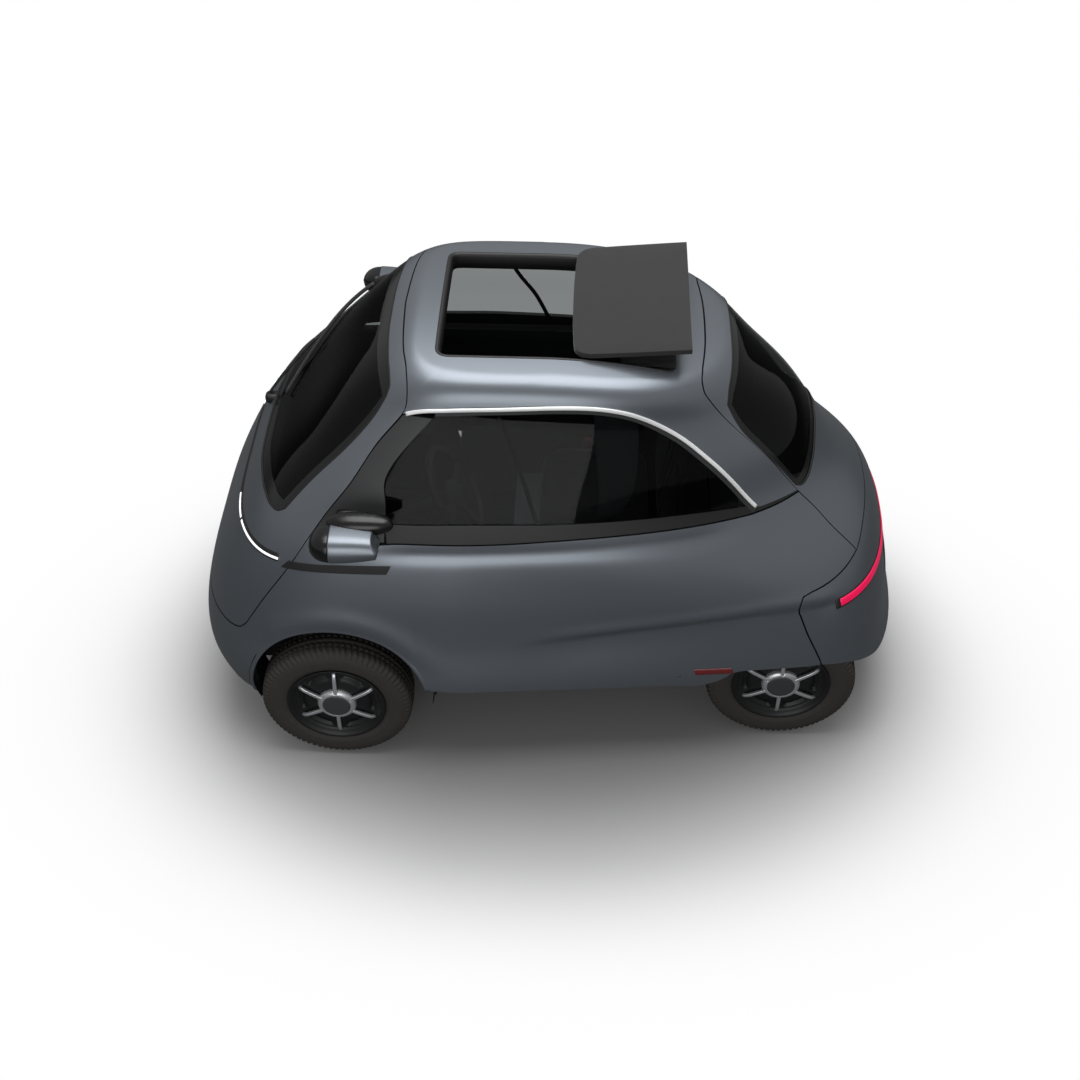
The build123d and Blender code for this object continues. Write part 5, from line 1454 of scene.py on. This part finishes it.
def add_stage(light):
    """A white floor that keeps the shadow and is painted darker near the car as a painted shadow, an even
    sky, one wide lamp overhead and a weak one beside.
    """
    material, tree, output, place = new_material("white_sweep_paper")
    grain = node(tree, "ShaderNodeTexNoise", {"Vector": place, "Scale": 1 / (300 * MM)})
    fleck = node(tree, "ShaderNodeMapRange", {"Value": grain.outputs["Fac"], "To Min": .98, "To Max": 1.0})
    # Round the car the paper keeps its shadow, and its colour is painted darker there as a painted shadow;
    # far from it the paper is lit to plain white.
    middle = node(tree, "ShaderNodeVectorMath", {0: place, 1: (light.shadow_shift, 0, 0)},
                  operation="SUBTRACT")
    spread = node(tree, "ShaderNodeVectorMath", {0: middle.outputs[0], 1: (1.2, 0.85, 1.0)},
                  operation="MULTIPLY")
    distance = node(tree, "ShaderNodeVectorMath", {0: spread.outputs[0]}, operation="LENGTH")
    far = node(tree, "ShaderNodeMapRange",
               {"Value": distance.outputs["Value"], "From Min": light.shadow_reach * .6,
                                             "From Max": light.shadow_reach * 1.15},
                                             interpolation_type="SMOOTHSTEP")
    # Painted shadow: the paper's colour runs from the painted shadow tone beside the car up to near white at
    # the shadow's reach.
    tone = node(tree, "ShaderNodeMapRange", {"Value": distance.outputs["Value"], "From Min": .5,
                                              "From Max": light.shadow_reach, "To Min": light.painted_shadow_tone,
                                              "To Max": .95}, interpolation_type="SMOOTHSTEP")
    shade = node(tree, "ShaderNodeMath", {0: tone.outputs[0], 1: fleck.outputs[0]}, operation="MULTIPLY")
    paper = node(tree, "ShaderNodeBsdfDiffuse", {"Color": shade.outputs[0]})
    white = node(tree, "ShaderNodeEmission", {"Color": (1, 1, 1, 1), "Strength": 1.0})
    open_floor = node(tree, "ShaderNodeMixShader",
                      {0: far.outputs[0], 1: paper.outputs[0], 2: white.outputs[0]})
    dull = node(tree, "ShaderNodeBsdfDiffuse", {"Color": (light.bounce, light.bounce, light.bounce, 1)})
    path = node(tree, "ShaderNodeLightPath")
    seen = node(tree, "ShaderNodeMixShader", {0: path.outputs["Is Camera Ray"], 1: dull.outputs[0],
                                               2: open_floor.outputs[0]})
    glass_ray = node(tree, "ShaderNodeMixShader",
                     {0: path.outputs["Is Transmission Ray"], 1: seen.outputs[0],
                                                    2: open_floor.outputs[0]})
    tree.links.new(glass_ray.outputs[0], output.inputs["Surface"])
    shape = Shape()
    u = np.linspace(-FLOOR_HALF, FLOOR_HALF, 40)
    shape.add(np.stack(np.broadcast_arrays(u[None, :], u[:, None], 0.0), axis=-1))
    mesh = bpy.data.meshes.new("floor")
    mesh.from_pydata(shape.points[0].tolist(), [], shape.faces)
    mesh.materials.append(material)
    ground = bpy.data.objects.new("floor", mesh)
    bpy.context.scene.collection.objects.link(ground)

    world = bpy.context.scene.world or bpy.data.worlds.new("sky")
    bpy.context.scene.world = world
    world.use_nodes = True
    sky = world.node_tree
    sky.nodes.clear()
    dim = node(sky, "ShaderNodeBackground", {"Color": (1, 1, 1, 1), "Strength": light.sky})
    plain = node(sky, "ShaderNodeBackground", {"Color": (1, 1, 1, 1), "Strength": 1.0})
    ray = node(sky, "ShaderNodeLightPath")
    pick = node(sky, "ShaderNodeMixShader",
                {0: ray.outputs["Is Camera Ray"], 1: dim.outputs[0], 2: plain.outputs[0]})
    out = node(sky, "ShaderNodeOutputWorld")
    sky.links.new(pick.outputs[0], out.inputs["Surface"])

    for name, place_at, size, power in (("overhead", (-.5, 0, 5.5), light.overhead_size, light.overhead),
                                        ("near_side", (6.0, -.6, 1.9), 3.4, light.near_side)):
        lamp = bpy.data.lights.new(name, "AREA")
        lamp.shape = "SQUARE"
        lamp.size = size
        lamp.energy = power
        holder = bpy.data.objects.new(name, lamp)
        holder.location = place_at
        aim = -Vector(place_at) + Vector((0, 0, AIM_HEIGHT))
        holder.rotation_euler = aim.to_track_quat("-Z", "Y").to_euler()
        bpy.context.scene.collection.objects.link(holder)

    camera = bpy.data.objects.new("camera", bpy.data.cameras.new("camera"))
    bpy.context.scene.collection.objects.link(camera)
    camera.data.lens = light.lens
    camera.data.sensor_width = SENSOR_MM
    camera.data.clip_end = 100
    yaw, pitch, roll = (radians(angle) for angle in CAMERA_ANGLES_DEG)
    ahead = Vector((-cos(pitch) * cos(yaw), -cos(pitch) * sin(yaw), -sin(pitch)))
    right = ahead.cross(Vector((0, 0, 1))).normalized()
    up = right.cross(ahead)
    across = right * cos(roll) + up * sin(roll)
    upward = up * cos(roll) - right * sin(roll)
    turn = Matrix((across, upward, -ahead)).transposed()
    camera.matrix_world = Matrix.Translation(CAMERA_AT) @ turn.to_4x4()
    bpy.context.scene.camera = camera
    bpy.context.scene.view_settings.view_transform = "Standard"


# ---------------------------------------------------------------- add-on
def colour_property(name, description, code):
    """A colour shown with a picker; its default is the hex code in linear values."""
    return bpy.props.FloatVectorProperty(name=name, description=description, subtype="COLOR", size=3, min=0,
                                         max=1,
                                         default=linear(code)[:3])


class MICROCAR_PG_colours(bpy.types.PropertyGroup):
    """Colours of the finishes."""

    paint: colour_property("Lacquer", "Colour of the body's lacquer", "#747a81")
    paint_flake: colour_property("Flake", "Colour of the lacquer's flakes", "#80868d")
    canopy: colour_property("Canopy", "Colour of the roof cloth", "#232324")
    seat: colour_property("Seats", "Colour of the seat cloth", "#202022")
    tail_lamp: colour_property("Tail lamp", "Colour of the tail lamp's light guide", "#d80f50")


class MICROCAR_PG_sizes(bpy.types.PropertyGroup):
    """Sizes that a user may change without touching the shape of the body."""

    strip_width: bpy.props.FloatProperty(name="Bright strip",
                                         description="Width of the strip over the side windows",
                                         default=.0135, min=.004, max=.02, unit="LENGTH")
    tread_depth: bpy.props.FloatProperty(name="Tread depth",
                                         description="Depth of the grooves in the tyres",
                                         default=.0075, min=0, max=.012, unit="LENGTH")
    seat_swell: bpy.props.FloatProperty(name="Seat swell", description="How far the seat covers may swell",
                                        default=.012, min=0, max=.02, unit="LENGTH")
    lid_thickness: bpy.props.FloatProperty(name="Lid thickness",
                                           description="Thickness of the canopy's lid",
                                           default=.021, min=.01, max=.03, unit="LENGTH")


class MICROCAR_PG_light(bpy.types.PropertyGroup):
    """Lights and camera of the stage."""

    sky: bpy.props.FloatProperty(name="Sky", description="Strength of the even sky", default=.36, min=0)
    overhead: bpy.props.FloatProperty(name="Overhead lamp", description="Power of the wide lamp overhead",
                                      default=250, min=0, unit="POWER")
    overhead_size: bpy.props.FloatProperty(name="Overhead size", description="Width of the lamp overhead",
                                           default=4.5,
                                           min=.1, unit="LENGTH")
    near_side: bpy.props.FloatProperty(name="Side lamp", description="Power of the lamp at the near side",
                                       default=90, min=0, unit="POWER")
    shadow_reach: bpy.props.FloatProperty(name="Shadow reach",
                                          description="Floor radius that keeps the shadow",
                                          default=1.7, min=.5, unit="LENGTH")
    shadow_shift: bpy.props.FloatProperty(name="Shadow shift",
                                          description="How far the shadow's middle is to +x",
                                          default=.30, unit="LENGTH")
    # The floor's colour beside the car, painted darker as a painted shadow.
    painted_shadow_tone: bpy.props.FloatProperty(name="Floor tone",
                                       description="Brightness of the floor near the car",
                                       default=.28, min=0, max=1)
    bounce: bpy.props.FloatProperty(name="Floor bounce", description="How much light the floor throws back",
                                    default=.12, min=0, max=1)
    lens: bpy.props.FloatProperty(name="Lens", description="Focal length in millimetres", default=53.06,
                                  min=10)


class MICROCAR_OT_finishes(bpy.types.Operator):
    """Makes one material for each finish of the car."""

    bl_idname = "microcar.finishes"
    bl_label = "Finishes"
    bl_options = {"REGISTER", "UNDO"}

    def execute(self, context):
        make_materials(context.scene.microcar_colours)
        return {"FINISHED"}


class MICROCAR_OT_skins(bpy.types.Operator):
    """Builds roof, sides, nose, tail and the front wheel arches."""

    bl_idname = "microcar.skins"
    bl_label = "Body panels"
    bl_options = {"REGISTER", "UNDO"}

    def execute(self, context):
        add_body_skins()
        return {"FINISHED"}


class MICROCAR_OT_door(bpy.types.Operator):
    """Builds the door's skin, windscreen and wiper."""

    bl_idname = "microcar.door"
    bl_label = "Front door"
    bl_options = {"REGISTER", "UNDO"}

    def execute(self, context):
        add_front_door()
        return {"FINISHED"}


class MICROCAR_OT_tailgate(bpy.types.Operator):
    """Builds the tailgate and its window."""

    bl_idname = "microcar.tailgate"
    bl_label = "Tailgate"
    bl_options = {"REGISTER", "UNDO"}

    def execute(self, context):
        add_tailgate()
        return {"FINISHED"}


class MICROCAR_OT_windows(bpy.types.Operator):
    """Builds side panes, trims and bright strips."""

    bl_idname = "microcar.windows"
    bl_label = "Side windows"
    bl_options = {"REGISTER", "UNDO"}

    def execute(self, context):
        add_side_windows(context.scene.microcar_sizes)
        return {"FINISHED"}


class MICROCAR_OT_lamps(bpy.types.Operator):
    """Builds light bar, fender strips, tail lamp and reflectors."""

    bl_idname = "microcar.lamps"
    bl_label = "Lamps"
    bl_options = {"REGISTER", "UNDO"}

    def execute(self, context):
        add_lamps()
        return {"FINISHED"}


class MICROCAR_OT_roof_opening(bpy.types.Operator):
    """Builds the rim of the roof opening."""

    bl_idname = "microcar.roof_opening"
    bl_label = "Sunroof rim"
    bl_options = {"REGISTER", "UNDO"}

    def execute(self, context):
        add_roof_opening()
        return {"FINISHED"}


class MICROCAR_OT_canopy(bpy.types.Operator):
    """Builds the lid and the folded cloth of the roof."""

    bl_idname = "microcar.canopy"
    bl_label = "Canopy"
    bl_options = {"REGISTER", "UNDO"}

    def execute(self, context):
        add_canopy(context.scene.microcar_sizes)
        return {"FINISHED"}


class MICROCAR_OT_pods(bpy.types.Operator):
    """Builds headlamp pods, mirrors and arms."""

    bl_idname = "microcar.pods"
    bl_label = "Lamp pods"
    bl_options = {"REGISTER", "UNDO"}

    def execute(self, context):
        add_lamp_pods()
        return {"FINISHED"}


class MICROCAR_OT_wheels(bpy.types.Operator):
    """Builds tyres and wheels."""

    bl_idname = "microcar.wheels"
    bl_label = "Wheels"
    bl_options = {"REGISTER", "UNDO"}

    def execute(self, context):
        add_wheels(context.scene.microcar_sizes)
        return {"FINISHED"}


class MICROCAR_OT_cabin(bpy.types.Operator):
    """Builds seats, steering wheel and trims."""

    bl_idname = "microcar.cabin"
    bl_label = "Cabin"
    bl_options = {"REGISTER", "UNDO"}

    def execute(self, context):
        add_cabin(context.scene.microcar_sizes)
        return {"FINISHED"}


class MICROCAR_OT_underfloor(bpy.types.Operator):
    """Builds the tub under the cabin."""

    bl_idname = "microcar.underfloor"
    bl_label = "Underfloor"
    bl_options = {"REGISTER", "UNDO"}

    def execute(self, context):
        add_underfloor()
        return {"FINISHED"}


class MICROCAR_OT_kept(bpy.types.Operator):
    """Gives the CAD pieces that stay their finish."""

    bl_idname = "microcar.kept"
    bl_label = "Kept pieces"
    bl_options = {"REGISTER", "UNDO"}

    def execute(self, context):
        finish_kept()
        return {"FINISHED"}


class MICROCAR_OT_stage(bpy.types.Operator):
    """Builds floor, lights and camera."""

    bl_idname = "microcar.stage"
    bl_label = "Stage"
    bl_options = {"REGISTER", "UNDO"}

    def execute(self, context):
        add_stage(context.scene.microcar_light)
        return {"FINISHED"}


OPERATORS = (
    MICROCAR_OT_finishes, MICROCAR_OT_skins, MICROCAR_OT_door, MICROCAR_OT_tailgate, MICROCAR_OT_windows,
    MICROCAR_OT_lamps, MICROCAR_OT_roof_opening, MICROCAR_OT_canopy, MICROCAR_OT_pods, MICROCAR_OT_wheels,
    MICROCAR_OT_cabin, MICROCAR_OT_underfloor, MICROCAR_OT_kept, MICROCAR_OT_stage,
)


class MICROCAR_PT_panel(bpy.types.Panel):
    """Lists the building steps."""

    bl_label = "Microcar"
    bl_idname = "MICROCAR_PT_panel"
    bl_space_type = "VIEW_3D"
    bl_region_type = "UI"
    bl_category = "Microcar"

    def draw(self, context):
        for one in OPERATORS:
            self.layout.operator(one.bl_idname)
        scene = context.scene
        for group in (scene.microcar_sizes, scene.microcar_colours, scene.microcar_light):
            for key in group.__annotations__:
                self.layout.prop(group, key)


CLASSES = (MICROCAR_PG_colours, MICROCAR_PG_sizes, MICROCAR_PG_light, *OPERATORS, MICROCAR_PT_panel)


def register():
    for one in CLASSES:
        bpy.utils.register_class(one)
    bpy.types.Scene.microcar_colours = bpy.props.PointerProperty(type=MICROCAR_PG_colours)
    bpy.types.Scene.microcar_sizes = bpy.props.PointerProperty(type=MICROCAR_PG_sizes)
    bpy.types.Scene.microcar_light = bpy.props.PointerProperty(type=MICROCAR_PG_light)


def unregister():
    del bpy.types.Scene.microcar_light
    del bpy.types.Scene.microcar_sizes
    del bpy.types.Scene.microcar_colours
    for one in reversed(CLASSES):
        bpy.utils.unregister_class(one)


def main():
    register()
    for one in OPERATORS:
        group, name = one.bl_idname.split(".")
        getattr(getattr(bpy.ops, group), name)()


if __name__ == "__main__":
    main()
